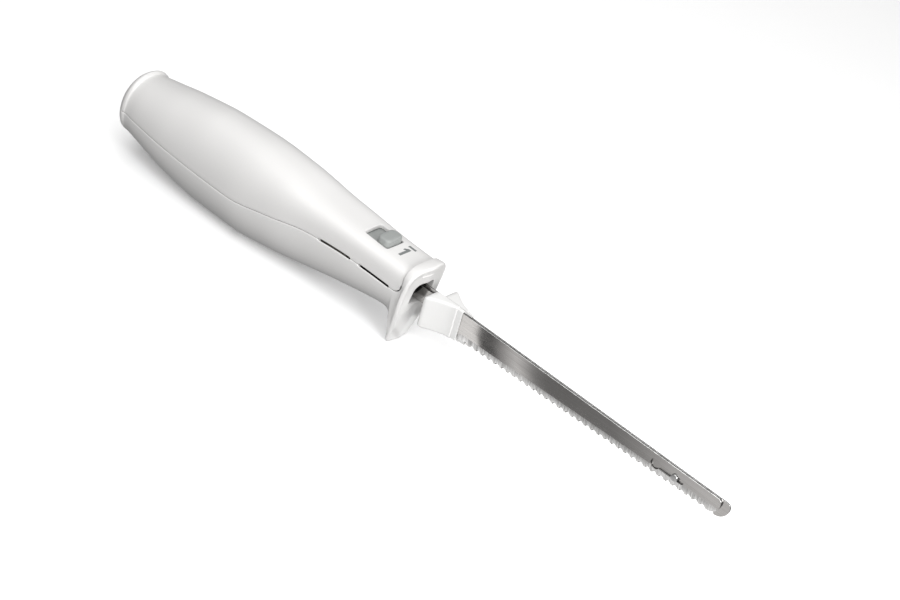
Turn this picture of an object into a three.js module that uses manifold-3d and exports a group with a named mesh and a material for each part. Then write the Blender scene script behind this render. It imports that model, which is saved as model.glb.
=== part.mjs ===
// Electric carving knife: two serrated blades slide to and fro beside each other in a moulded handle.
// Millimetres. +X points to the blade tips, +Y to the left of the knife, +Z up.
// Inside the assembly the origin is on the blade axis, in the plane of the guard's front.

import * as THREE from 'three';
import { mergeVertices } from 'three/addons/utils/BufferGeometryUtils.js';
import loadManifold from 'manifold-3d';

const manifold = await loadManifold();
manifold.setup();

// Clearances
const FIT = 0.2; // between pieces that are pressed or riveted together
const REST = 0.3; // between a piece and the seat that it stands on
const RUN = 0.35; // between pieces that slide or turn on each other
const SEAM = 0.3; // joint line between the two housing shells

// Levels that the knife stands on
const FLOOR_LEVEL = -32.5; // the flats under the belly and under the guard
const BELLY_CUT = 0.5; // how much of the round belly is taken off flat

// Handle sections from the rear end to the guard:
// x, top, bottom, half width, height of the joint line, squareness above it and below it
const HANDLE_SECTIONS = [
  [-240, 7, -9.5, 8.5, -1.3, 2.2, 2.2],
  [-238.4, 13.2, -14.6, 14.4, -1.3, 2.2, 2.2],
  [-235, 19.8, -18.2, 18.4, -1.35, 2.2, 2.2],
  [-232.5, 21.3, -19.4, 19.9, -1.4, 2.2, 2.2],
  [-230, 19.8, -20.0, 19.4, -1.45, 2.2, 2.2],
  [-222, 21.0, -21.4, 20.6, -1.8, 2.2, 2.2],
  [-195, 26.2, -28.6, 23.3, -2.7, 2.2, 2.1],
  [-165, 30.0, FLOOR_LEVEL - BELLY_CUT, 24.6, -3.2, 2.3, 2.0],
  [-135, 30.8, FLOOR_LEVEL - BELLY_CUT, 25.4, -2.9, 2.45, 2.0],
  [-105, 28.8, -29.4, 23.3, 1.5, 2.8, 2.15],
  [-75, 24.9, -23.9, 19.3, 6.2, 3.6, 2.3],
  [-50, 22.9, -19.1, 17.1, 7.0, 4.6, 2.3],
  [-28, 21.6, -15.3, 15.8, 6.4, 5.2, 2.3],
  [-6, 21.2, -11.5, 15.4, 5.6, 5.2, 2.3],
];
const HANDLE_SIDES = 28;
const HANDLE_STEP = 17; // between the sections that are drawn
const DOME_LENGTH = 10; // rear end, with closer sections
const DOME_STEP = 2.5;
const CAVITY_SIDES = 20;
const CAVITY_STEP = 24;
const WALL = 2.4;
const REAR_WALL = 2.9;

// Guard: a shield in front of the hand, with a leg down to the floor
const GUARD_BACK = -7; // the cover ends here
const GUARD_FRONT = 0.3; // front of the guard on the blade axis
const GUARD_RAKE = 0.14; // the foot lies back, in mm for each mm of height
const GUARD_BOW = 0.15; // the front folds back from the middle to each side
const GUARD_RIM = 1.6; // rounding of the front edge
const SWEEP_TOP = -8; // below this height the front lies back further, so that the leg thins to its foot
const LEG_SWEEP = 0.06; // in mm for each mm of height
const GUARD_WALL = 3.4;
const LEG_TOP = -16; // the leg leaves the handle's underside here
const legLevel = (share) => FLOOR_LEVEL + share * (LEG_TOP - FLOOR_LEVEL);
// Sections from the foot to the top: z, half width at the front, back x, half width at the back
const GUARD_SECTIONS = [
  [legLevel(0), 8.8, -10.2, 7.8],
  [legLevel(0.4), 10.4, -9.9, 9.0],
  [legLevel(0.76), 12.0, -11.0, 9.5],
  [LEG_TOP, 13.3, -14.5, 8.0],
  [-13, 14.2, -20.0, 6.0],
  [-8, 15.4, -24.0, 6.0],
  [-2, 16.4, -12.0, 12.0],
  [4, 16.9, GUARD_BACK, 15.0],
  [12, 16.8, GUARD_BACK, 15.2],
  [17, 15.6, GUARD_BACK, 14.0],
  [20.5, 13.0, GUARD_BACK, 12.0],
  [22.4, 10.0, GUARD_BACK, 9.0],
  [23, 7.5, GUARD_BACK, 7.0],
];
const COVER_CORNER = 6; // rounding of the cover's lower front corner
const BLADE_HOLE_HALF = 8.5;
const BLADE_HOLE_BOTTOM = -1;
const BLADE_HOLE_TOP = 13;
const BLADE_HOLE_ARCH = 5;

// Vents along the joint line: rear and front end of each slot
const VENTS = [[-67.9, -43.5], [-37.5, -13.3]];
const VENT_HEIGHT = 1.5;

// Switch on top of the cover
const SWITCH_TRAVEL = 8;
const SWITCH_SLOT_FRONT = -26.6;
const SWITCH_SLOT_WIDTH = 13;
const SWITCH_SLOT_CORNER = 3.2;
const BUTTON_LENGTH = 9.4;
const BUTTON_RISE = 3; // over the cover
const BUTTON_CORNER = 3;
const BUTTON_ROUND = 0.9;
const SLIDER_THICKNESS = 1.6;
const SLIDER_TAIL = 19; // how far the slider reaches behind the slot
const SLIDER_OVERLAP = 1.3; // how far the slider reaches past each side of the slot
const RAIL_THICKNESS = 1.6;
const RAIL_LIP = 1.2;
const SWITCH_LUG = 4;
const SWITCH_LUG_DEPTH = 2.4;
const SWITCH_BODY_HALF = 5;
const SWITCH_BODY_WALL = 2;

// Screws that hold the two shells together
const REAR_SCREW_SETBACK = 19; // from the rear end
const SIDE_SCREW_Y = 12;
const BOSS_RADIUS = 3.8;
const SCREW_RADIUS = 1.5;
const SCREW_HEAD_RADIUS = 2.5;
const SCREW_HEAD_HEIGHT = 2;
const SCREW_GRIP = 5; // length in the lower shell's boss, from the head to the joint line
const SCREW_REACH = 7; // length in the cover's boss

// Hooks at the front of the cover, under the guard's rim
const HOOK_PLACE = 7; // from the middle
const HOOK_WIDTH = 5;
const HOOK_ROOT = 5;
const HOOK_REACH = 2.6;
const HOOK_THICKNESS = 1.3;

// Seats that rise from the floor of the lower shell
const RIB_THICKNESS = 4;
const RIB_HALF = 9;
const RIB_SETBACK = 3; // from the ends of the motor's core
const FRONT_RIB_SETBACK = 18; // from the front of the drive frame

// Cord inlet, clamped in the joint line at the rear end
const INLET_RADIUS = 5;
const INLET_BORE = 3.4;
const INLET_CHAMFER = 0.7;
const INLET_LENGTH = 6;
const INLET_FLANGE = 1.4;
const INLET_FLANGE_THICKNESS = 2;

// Motor
const MOTOR_AXIS = -4;
const SHAFT_RADIUS = 2;
const SHAFT_TAIL = 6.4; // behind the rear bearing's seat
const SHAFT_NOSE = 3; // in front of the worm
const CORE_REAR = -176;
const CORE_LENGTH = 22;
const ARMATURE_RADIUS = 11;
const ARMATURE_SLOTS = 12;
const ARMATURE_SLOT_WIDTH = 1.6;
const ARMATURE_SLOT_DEPTH = 4.5;
const AIR_GAP = 0.6;
const FIELD_POLE = 5.4; // iron beside the bore
const FIELD_BACK = 2.6; // iron over the coils
const FIELD_CORNER = 9;
const COIL_DEPTH = 4;
const COIL_SPACE = 0.8;
const COIL_OVERHANG = 5;
const COIL_WIDTH = 3.7;
const WINDING_RADIUS = 9.5;
const WINDING_LENGTH = 5;
const WINDING_ROUND = 1.5;
const COMMUTATOR_RADIUS = 6.5;
const COMMUTATOR_LENGTH = 12;
const COMMUTATOR_RISER = 2; // plain end next to the winding
const BAR_GAP = 0.5; // between the commutator's bars
const BAR_GAP_DEPTH = 0.7;
const BEARING_RADIUS = 5.2;
const BEARING_LENGTH = 6;
const BEARING_SETBACK = 5; // from the commutator
const BEARING_PROUD = 0.5; // of its seat in the drive frame
const BRUSH_SIDE = 5;
const BRUSH_LENGTH = 6.5;
const HOLDER_WALL = 1.4;
const HOLDER_LENGTH = 9;
const HOLDER_SETBACK = 1.2; // from the brush's inner end
const BRIDGE_THICKNESS = 4;
const BRIDGE_HALF_WIDTH = 15;
const BRIDGE_HALF_HEIGHT = 12;
const BRIDGE_CORNER = 5;
const SHELF_THICKNESS = 3;
const FAN_RADIUS = 15;
const FAN_LENGTH = 8;
const FAN_BLADES = 9;
const FAN_BLADE_THICKNESS = 1;
const FAN_DISC = 1.2;
const FAN_HUB_WALL = 2.5;
const FAN_CLEAR = 2; // in front of and behind the fan

// Worm drive: the gear turns on a cross axle above the worm and carries two opposed eccentrics
const GEAR_X = -97;
const GEAR_TEETH = 20;
const GEAR_MODULE = 1;
const GEAR_ADDENDUM = 0.7; // in modules
const GEAR_DEDENDUM = 1.3; // in modules
const GEAR_HALF_WIDTH = 2.6;
const TOOTH_TIP = 0.5;
const TOOTH_ROOT = 1.3;
const WORM_ROOT = 3.1;
const WORM_LENGTH = 22;
const THREAD_HEIGHT = 1.4;
const THREAD_ADDENDUM = 0.6;
const THREAD_TIP = 0.5;
const THREAD_ROOT = 1.1;
const THREAD_STEPS = 8; // for each turn
const AXLE_RADIUS = 2;
const AXLE_SHOULDER = 3; // material round the axle hole
const STROKE = 5.5;
const ECCENTRIC_RADIUS = 6.2;

// Drive frame and keeper
const FRAME_WALL = 2.2;
const FRAME_CLEAR = 2; // to the pieces that move past its ends
const FRAME_REAR_WALL = 4.5;
const FRAME_REAR_HALF = 13;
const FRAME_FOOT = -13;
const KEEPER_LENGTH = 24;
const KEEPER_THICKNESS = 2;
const KEEPER_EDGE = 1; // past the frame's sides
const KEEPER_CLEAR = 4; // from the frame's high side plates
const KEEPER_SCREW_INSET = 4;
const KEEPER_SCREW_RADIUS = 1;
const KEEPER_SCREW_DEPTH = 6.4;
const KEEPER_SCREW_HEAD = 2;
const KEEPER_SCREW_HEAD_HEIGHT = 1.4;

// Blade carriers
const CARRIER_THICKNESS = 2.9;
const YOKE_BAR = 3;
const ARM_BOTTOM = 1.2;
const ARM_TOP = 9;
const ARM_FILLET = 3;
const SOCKET_LENGTH = 29.8;
const SOCKET_BACK = 3; // behind the tang
const SOCKET_WALL = 2;

// Blade hubs, at the middle of the stroke
const HUB_REAR = 13.6;
const HUB_LENGTH = 16.2;
const HUB_REAR_HALF = 11.4;
const HUB_BOTTOM = -6.5;
const HUB_FLOOR = 1; // under the blade
const HUB_ROOF = 1.8; // over the blade
const HUB_WALL = 1.25; // beside the blade, at the front
const HUB_ROUND = 1.2;
const HUB_REAR_ROUND = 1.4;
const HUB_STEP = 2.7; // between the sections that are drawn
const COLLAR_LENGTH = 3.8;
const COLLAR_WALL = 0.55;
const COLLAR_STEP = 0.5; // below the hub's surface

// Blades, at the middle of the stroke
const BLADE_THICKNESS = 1;
const BLADE_GAP = 0.3; // between the two blades
const TANG_REAR = -44;
const TANG_BOTTOM = -0.5;
const TANG_HEIGHTS = [11.9, 10]; // left and right are keyed by their height
const SHOULDER_SETBACK = 5.4; // from the hub's rear
const SHOULDER_LENGTH = 3; // from the tang to the full height of the blade
const SPINE_AT_HUB = 10.8;
const SPINE_AT_TIP = 9.8;
const EDGE_AT_HUB = -7.0;
const EDGE_AT_TIP = -1.8;
const HEEL_LENGTH = 1;
const HEEL_PLAIN = 4; // edge without teeth behind the first one
const TIP_X = 222.6;
const TIP_PLAIN = 8.1; // edge without teeth at the tip
const TIP_ROUND = 8;
const TOOTH_PITCH = 4.77;
const SCALLOP_DEPTH = 1.8;
const SCALLOP_STEPS = 3;
const GRIND_HEIGHT = 5;
const GRIND_EDGE = 0.3; // thickness left at the teeth
const KEYHOLE_SETBACK = 24.8; // from the tip
const KEYHOLE_LENGTH = 23;
const KEYHOLE_Z = 3.8;
const KEYHOLE_ROUND = 3.2;
const KEYHOLE_SLOT = 3.2;
const STUD_NECK = 1.1;
const STUD_HEAD = 2.3;
const STUD_HEAD_THICKNESS = 1;
const RIVET_THICKNESS = 0.6;

// Sides of round pieces
const ROUND = 16;
const ROUND_LARGE = 24;
const ROUND_SMALL = 12;

// Worked-out values
const HANDLE_REAR = HANDLE_SECTIONS[0][0];
const HANDLE_FRONT = HANDLE_SECTIONS[HANDLE_SECTIONS.length - 1][0];
const BEYOND = HANDLE_FRONT - HANDLE_REAR; // longer than any cut
const OVER = WALL / 2; // cutters run this far past a face, and joined solids into each other
const CORE_FRONT = CORE_REAR + CORE_LENGTH;
const FIELD_BORE = ARMATURE_RADIUS + AIR_GAP;
const COIL_INNER = FIELD_BORE + COIL_SPACE;
const COIL_OUTER = COIL_INNER + COIL_DEPTH;
const FIELD_HALF_WIDTH = FIELD_BORE + FIELD_POLE;
const FIELD_HALF_HEIGHT = COIL_OUTER + FIELD_BACK;
const COMMUTATOR_REAR = CORE_REAR - REST - WINDING_LENGTH - REST - COMMUTATOR_LENGTH;
const REAR_BEARING_X = COMMUTATOR_REAR - BEARING_SETBACK - BEARING_LENGTH;
const SHAFT_REAR = REAR_BEARING_X - SHAFT_TAIL;
const SHAFT_FRONT = GEAR_X + WORM_LENGTH / 2 + SHAFT_NOSE;
const SHAFT_BORE = SHAFT_RADIUS + FIT;
const FAN_REAR = CORE_FRONT + REST + WINDING_LENGTH + FAN_CLEAR;
const SIDE_SCREW_X = FAN_REAR + FAN_LENGTH + FAN_CLEAR + BOSS_RADIUS;
const HOUSING_SCREWS = [
  [HANDLE_REAR + REAR_SCREW_SETBACK, 0],
  [SIDE_SCREW_X, -SIDE_SCREW_Y],
  [SIDE_SCREW_X, SIDE_SCREW_Y],
];
const HOLDER_HALF = BRUSH_SIDE / 2 + REST + HOLDER_WALL;
const BRUSH_X = COMMUTATOR_REAR + (COMMUTATOR_LENGTH - COMMUTATOR_RISER) / 2;
const BRUSH_INNER = COMMUTATOR_RADIUS + RUN;
const HOLDER_INNER = BRUSH_INNER + HOLDER_SETBACK;
const GEAR_RADIUS = GEAR_TEETH * GEAR_MODULE / 2;
const WORM_PITCH_RADIUS = WORM_ROOT + THREAD_HEIGHT - THREAD_ADDENDUM;
const GEAR_AXIS = MOTOR_AXIS + GEAR_RADIUS + WORM_PITCH_RADIUS;
const ECCENTRICITY = STROKE / 2;
const CARRIER_INNER = GEAR_HALF_WIDTH + RUN;
const CARRIER_OUTER = CARRIER_INNER + CARRIER_THICKNESS;
const ECCENTRIC_OUTER = CARRIER_OUTER + RUN;
const YOKE_HALF_LENGTH = ECCENTRIC_RADIUS + 2 * ECCENTRICITY + RUN;
const YOKE_HALF_HEIGHT = ECCENTRIC_RADIUS + ECCENTRICITY + RUN;
const YOKE_TOP = GEAR_AXIS + YOKE_HALF_HEIGHT + YOKE_BAR;
const FRAME_INNER = ECCENTRIC_OUTER + RUN;
const FRAME_OUTER = FRAME_INNER + FRAME_WALL;
const FRAME_REAR = GEAR_X - YOKE_HALF_LENGTH - YOKE_BAR - ECCENTRICITY - FRAME_CLEAR - FRAME_REAR_WALL;
const SOCKET_REAR = TANG_REAR - SOCKET_BACK;
const SOCKET_FRONT = SOCKET_REAR + SOCKET_LENGTH;
const FRAME_FRONT = SOCKET_REAR - ECCENTRICITY - FRAME_CLEAR;
const FRAME_FLOOR = ARM_BOTTOM - REST;
const KEEPER_REAR = FRAME_FRONT - KEEPER_LENGTH;
const KEEPER_BOTTOM = ARM_TOP + 2 * REST;
const KEEPER_TOP = KEEPER_BOTTOM + KEEPER_THICKNESS;
const KEEPER_SCREW_Y = (FRAME_INNER + FRAME_OUTER) / 2;
const KEEPER_SCREWS = [
  [KEEPER_REAR + KEEPER_SCREW_INSET, KEEPER_SCREW_Y],
  [FRAME_FRONT - KEEPER_SCREW_INSET, -KEEPER_SCREW_Y],
];
const SWITCH_SLOT_REAR = SWITCH_SLOT_FRONT - BUTTON_LENGTH - SWITCH_TRAVEL - 3 * RUN;
const SLIDER_REAR = SWITCH_SLOT_REAR - SLIDER_OVERLAP;
const SLIDER_FRONT = SWITCH_SLOT_FRONT + SWITCH_TRAVEL + SLIDER_OVERLAP;
const SLIDER_HALF = SWITCH_SLOT_WIDTH / 2 + SLIDER_OVERLAP;
const SLIDER_TOP = handleRoof(SLIDER_FRONT, SLIDER_HALF, WALL) - RUN;
const SLIDER_BOTTOM = SLIDER_TOP - SLIDER_THICKNESS;
const LUG_REAR = SLIDER_REAR - SLIDER_TAIL;
const BUTTON_TOP = handleRoof(SWITCH_SLOT_FRONT, 0, 0) + BUTTON_RISE;
const BLADE_INNER = BLADE_GAP / 2;
const BLADE_OUTER = BLADE_INNER + BLADE_THICKNESS;
const HUB_FRONT = HUB_REAR + HUB_LENGTH;
const HUB_FRONT_HALF = BLADE_OUTER + FIT + HUB_WALL;
const HUB_TOP = SPINE_AT_HUB + HUB_ROOF;
const COLLAR_FRONT = HUB_FRONT + COLLAR_LENGTH;
const COLLAR_HALF = BLADE_OUTER + FIT + COLLAR_WALL;
const ROOT_BOTTOM = HUB_BOTTOM + HUB_FLOOR;
const SHOULDER_X = HUB_REAR + SHOULDER_SETBACK;
const SHOULDER_FRONT = SHOULDER_X + SHOULDER_LENGTH;
const HEEL_X = COLLAR_FRONT + 2 * FIT;
const FIRST_TOOTH = HEEL_X + HEEL_PLAIN;
const LAST_TOOTH = TIP_X - TIP_PLAIN;
const KEYHOLE_FRONT = TIP_X - KEYHOLE_SETBACK;
const KEYHOLE_REAR = KEYHOLE_FRONT - KEYHOLE_LENGTH;
const STUD_X = (KEYHOLE_FRONT + KEYHOLE_REAR) / 2;

// Solids

function toSolid(geometry) {
  const bare = geometry.clone();
  bare.deleteAttribute('normal');
  bare.deleteAttribute('uv');
  const merged = mergeVertices(bare, 1e-5);
  return new manifold.Manifold(new manifold.Mesh({
    numProp: 3,
    vertProperties: new Float32Array(merged.attributes.position.array),
    triVerts: new Uint32Array(merged.index.array),
  }));
}

function toGeometry(solid) {
  const mesh = solid.getMesh();
  const geometry = new THREE.BufferGeometry();
  geometry.setAttribute('position', new THREE.BufferAttribute(mesh.vertProperties.slice(), 3));
  geometry.setIndex(new THREE.BufferAttribute(mesh.triVerts.slice(), 1));
  geometry.computeVertexNormals();
  return geometry;
}

function join(...pieces) {
  return toGeometry(pieces.map(toSolid).reduce((sum, next) => sum.add(next)));
}

function cut(piece, ...tools) {
  return toGeometry(tools.map(toSolid).reduce((left, tool) => left.subtract(tool), toSolid(piece)));
}

function common(...pieces) {
  return toGeometry(pieces.map(toSolid).reduce((shared, next) => shared.intersect(next)));
}

const ordered = (a, b) => [Math.min(a, b), Math.max(a, b)];

function box(x0, x1, y0, y1, z0, z1) {
  const geometry = new THREE.BoxGeometry(x1 - x0, y1 - y0, z1 - z0);
  return geometry.translate((x0 + x1) / 2, (y0 + y1) / 2, (z0 + z1) / 2);
}

function rodX(radius, x0, x1, y, z, sides = ROUND) {
  const geometry = new THREE.CylinderGeometry(radius, radius, x1 - x0, sides);
  return geometry.rotateZ(Math.PI / 2).translate((x0 + x1) / 2, y, z);
}

function rodY(radius, y0, y1, x, z, sides = ROUND) {
  return new THREE.CylinderGeometry(radius, radius, y1 - y0, sides).translate(x, (y0 + y1) / 2, z);
}

function rodZ(radius, z0, z1, x, y) {
  const geometry = new THREE.CylinderGeometry(radius, radius, z1 - z0, ROUND_SMALL);
  return geometry.rotateX(Math.PI / 2).translate(x, y, (z0 + z1) / 2);
}

function plainExtrusion(shape, depth) {
  return new THREE.ExtrudeGeometry(shape, { depth, bevelEnabled: false, curveSegments: ROUND / 2 });
}

// A side outline drawn in X and Z, from y0 to y1
function slabXZ(shape, y0, y1) {
  return plainExtrusion(shape, y1 - y0).rotateX(Math.PI / 2).translate(0, y1, 0);
}

// An end outline drawn in Y and Z, from x0 to x1
function slabYZ(shape, x0, x1) {
  return plainExtrusion(shape, x1 - x0).rotateZ(Math.PI / 2).rotateY(Math.PI / 2).translate(x0, 0, 0);
}

// A plan outline drawn in X and Y, from z0 to z1, with its edges rounded
function slabXY(shape, z0, z1, round) {
  const geometry = new THREE.ExtrudeGeometry(shape, {
    depth: z1 - z0 - 2 * round,
    bevelEnabled: round > 0,
    bevelThickness: round,
    bevelSize: round,
    bevelOffset: -round,
    bevelSegments: 2,
    curveSegments: ROUND / 4,
  });
  return geometry.translate(0, 0, z0 + round);
}

function roundedRectangle(u0, u1, v0, v1, corner) {
  const shape = new THREE.Shape();
  shape.absarc(u1 - corner, v1 - corner, corner, 0, Math.PI / 2);
  shape.absarc(u0 + corner, v1 - corner, corner, Math.PI / 2, Math.PI);
  shape.absarc(u0 + corner, v0 + corner, corner, Math.PI, 1.5 * Math.PI);
  shape.absarc(u1 - corner, v0 + corner, corner, 1.5 * Math.PI, 2 * Math.PI);
  return shape;
}

// A closed body through rings of equal point counts, listed so that each ring turns right-handed
function loft(rings) {
  const count = rings[0].length;
  const positions = rings.flat(2);
  const index = [];
  for (let ring = 0; ring < rings.length - 1; ring += 1) {
    for (let k = 0; k < count; k += 1) {
      const next = (k + 1) % count;
      const a = ring * count + k;
      const b = ring * count + next;
      index.push(a, b, b + count, a, b + count, a + count);
    }
  }
  for (let k = 1; k < count - 1; k += 1) {
    const last = (rings.length - 1) * count;
    index.push(0, k + 1, k);
    index.push(last, last + k, last + k + 1);
  }
  const geometry = new THREE.BufferGeometry();
  geometry.setAttribute('position', new THREE.Float32BufferAttribute(positions, 3));
  geometry.setIndex(index);
  return geometry;
}

// Smooth values between the rows of a table, keyed by the first column
function between(rows, key) {
  const last = rows.length - 1;
  if (key <= rows[0][0]) return rows[0].slice(1);
  if (key >= rows[last][0]) return rows[last].slice(1);
  const i = rows.findIndex((row, k) => k < last && key < rows[k + 1][0]);
  const span = rows[i + 1][0] - rows[i][0];
  const t = (key - rows[i][0]) / span;
  const slope = (k, c) => (rows[k + 1][c] - rows[k][c]) / (rows[k + 1][0] - rows[k][0]);
  const tangent = (k, c) => {
    if (k === 0) return slope(0, c);
    if (k === last) return slope(last - 1, c);
    const before = slope(k - 1, c);
    const after = slope(k, c);
    return before * after <= 0 ? 0 : 2 * before * after / (before + after);
  };
  return rows[i].slice(1).map((value, column) => {
    const c = column + 1;
    const start = tangent(i, c) * span;
    const end = tangent(i + 1, c) * span;
    const rise = rows[i + 1][c] - value;
    return value + start * t + (3 * rise - 2 * start - end) * t * t + (start + end - 2 * rise) * t ** 3;
  });
}

function stationsAlong(from, to, step) {
  const count = Math.ceil((to - from) / step);
  return Array.from({ length: count + 1 }, (_, k) => from + (to - from) * k / count);
}

// Handle shells

function handleRing(x, inset, sides) {
  const [top, bottom, half, joint, above, below] = between(HANDLE_SECTIONS, x);
  const ring = [];
  for (let k = 0; k < sides; k += 1) {
    const angle = k / sides * 2 * Math.PI;
    const c = Math.cos(angle);
    const s = Math.sin(angle);
    const power = 2 / (s >= 0 ? above : below);
    const height = s >= 0 ? top - inset - joint : joint - bottom - inset;
    const y = (half - inset) * Math.sign(c) * Math.abs(c) ** power;
    ring.push([x, y, joint + height * Math.sign(s) * Math.abs(s) ** power]);
  }
  return ring;
}

// Height of the handle's upper surface, drawn in by an inset, at a place on the plan
function handleRoof(x, y, inset) {
  const [top, , half, joint, above] = between(HANDLE_SECTIONS, x);
  const share = Math.abs(y) / (half - inset);
  return joint + (top - inset - joint) * (1 - share ** above) ** (1 / above);
}

// The handle's form, drawn in by an inset, with close sections round its rear end
function handleBody(inset, rear, front, sides, step) {
  const dome = stationsAlong(rear, rear + DOME_LENGTH, DOME_STEP);
  const length = stationsAlong(rear + DOME_LENGTH, front, step);
  return loft([...dome, ...length.slice(1)].map((x) => handleRing(x, inset, sides)));
}

const jointLine = (x) => between(HANDLE_SECTIONS, x)[3];

// The space of the cover: over the joint line, behind the guard, with a round lower front corner
function coverSpace(inset) {
  const rear = HANDLE_REAR - OVER;
  const front = GUARD_BACK - inset;
  const corner = front - COVER_CORNER;
  const shape = new THREE.Shape();
  shape.moveTo(rear, jointLine(rear) + inset);
  for (const x of stationsAlong(HANDLE_REAR, corner, HANDLE_STEP)) shape.lineTo(x, jointLine(x) + inset);
  const level = jointLine(corner) + inset;
  shape.absarc(corner, level + COVER_CORNER, COVER_CORNER, -Math.PI / 2, 0);
  shape.lineTo(front, BEYOND);
  shape.lineTo(rear, BEYOND);
  return slabXZ(shape, -BEYOND, BEYOND);
}

// Front of the guard at a height and a distance from the middle
function guardFront(y, z) {
  const sweep = LEG_SWEEP * Math.max(0, SWEEP_TOP - z);
  return GUARD_FRONT + GUARD_RAKE * z - GUARD_BOW * Math.abs(y) - sweep;
}

function guardBody() {
  const rings = GUARD_SECTIONS.map(([z, half, back, backHalf]) => {
    const rim = [0, Math.PI / 4, Math.PI / 2].map((angle) => [
      guardFront(half, z) - GUARD_RIM * (1 - Math.sin(angle)),
      half - GUARD_RIM * (1 - Math.cos(angle)),
    ]);
    const side = [[back, backHalf], ...rim];
    const right = side.map(([x, y]) => [x, -y, z]);
    const left = side.map(([x, y]) => [x, y, z]).reverse();
    return [...right, [guardFront(0, z), 0, z], ...left, [back, 0, z]];
  });
  return loft(rings);
}

function bladeHole() {
  const shape = new THREE.Shape();
  shape.moveTo(-BLADE_HOLE_HALF, BLADE_HOLE_BOTTOM);
  shape.lineTo(BLADE_HOLE_HALF, BLADE_HOLE_BOTTOM);
  const spring = BLADE_HOLE_TOP - BLADE_HOLE_ARCH;
  shape.absarc(BLADE_HOLE_HALF - BLADE_HOLE_ARCH, spring, BLADE_HOLE_ARCH, 0, Math.PI / 2);
  shape.absarc(BLADE_HOLE_ARCH - BLADE_HOLE_HALF, spring, BLADE_HOLE_ARCH, Math.PI / 2, Math.PI);
  return slabYZ(shape, GUARD_BACK - OVER, guardFront(0, BLADE_HOLE_TOP) + OVER);
}

function ventCutters() {
  const half = VENT_HEIGHT / 2;
  return VENTS.flatMap(([rear, front]) => {
    const level = jointLine((rear + front) / 2);
    return [-1, 1].map((side) => {
      const ends = ordered(side * BLADE_HOLE_HALF, side * BEYOND);
      return box(rear, front, ...ends, level - half, level + half);
    });
  });
}

// Seats under the motor, its rear bridge and the drive frame
function seatRibs() {
  const fieldFoot = MOTOR_AXIS - FIELD_HALF_HEIGHT - REST;
  const bridgeMiddle = REAR_BEARING_X + BEARING_LENGTH / 2;
  const seats = [
    [bridgeMiddle - RIB_THICKNESS / 2, MOTOR_AXIS - BRIDGE_HALF_HEIGHT - REST],
    [CORE_REAR + RIB_SETBACK, fieldFoot],
    [CORE_FRONT - RIB_SETBACK - RIB_THICKNESS, fieldFoot],
    [FRAME_REAR, FRAME_FOOT - REST],
    [FRAME_FRONT - FRONT_RIB_SETBACK, FRAME_FLOOR - FRAME_WALL - REST],
  ];
  return seats.map(([rear, top]) => box(rear, rear + RIB_THICKNESS, -RIB_HALF, RIB_HALF, -BEYOND, top));
}

const screwSeat = (x) => jointLine(x) - SEAM / 2 - SCREW_GRIP;

function screwHoles() {
  return HOUSING_SCREWS.flatMap(([x, y]) => [
    rodZ(SCREW_RADIUS + FIT, screwSeat(x) - OVER, jointLine(x) + SCREW_REACH + OVER, x, y),
    rodZ(SCREW_HEAD_RADIUS + RUN, -BEYOND, screwSeat(x), x, y),
  ]);
}

// A screw with its head on the seat and its shank up from there, or down if the height is negative
function screw(x, y, seat, headRadius, headHeight, radius, end) {
  const head = rodZ(headRadius, ...ordered(seat, seat + headHeight), x, y);
  const shank = rodZ(radius, ...ordered(seat + headHeight / 2, end), x, y);
  return join(head, shank);
}

function housingScrew([x, y]) {
  const end = jointLine(x) + SCREW_REACH;
  return screw(x, y, screwSeat(x) - FIT, SCREW_HEAD_RADIUS, -SCREW_HEAD_HEIGHT, SCREW_RADIUS, end);
}

// The slider's two rails hang from the roof of the cover and hook under its edges
function sliderRails() {
  const half = SLIDER_HALF + RUN;
  const lip = SLIDER_BOTTOM - RUN;
  const rear = SWITCH_SLOT_REAR - SWITCH_TRAVEL;
  const front = SWITCH_SLOT_FRONT + SWITCH_TRAVEL;
  return [-1, 1].flatMap((side) => {
    const web = ordered(side * half, side * (half + RAIL_THICKNESS));
    const hook = ordered(side * (half - RAIL_THICKNESS), side * (half + RAIL_THICKNESS));
    return [
      box(rear, front, ...web, lip - RAIL_LIP, BEYOND),
      box(rear, front, ...hook, lip - RAIL_LIP, lip),
    ];
  });
}

// Hooks on the cover's front edge, under the roof of the guard
function coverHooks() {
  const top = handleRoof(GUARD_BACK, HOOK_PLACE + HOOK_WIDTH / 2, WALL) - REST;
  const rear = GUARD_BACK - HOOK_ROOT;
  return [-1, 1].flatMap((side) => {
    const y = side * HOOK_PLACE;
    const ends = [y - HOOK_WIDTH / 2, y + HOOK_WIDTH / 2];
    return [
      box(rear, GUARD_BACK + HOOK_REACH, ...ends, top - HOOK_THICKNESS, top),
      box(rear, GUARD_BACK - SEAM, ...ends, top - HOOK_THICKNESS, top + REST + WALL / 2),
    ];
  });
}

const inletLevel = jointLine(HANDLE_REAR);

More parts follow.
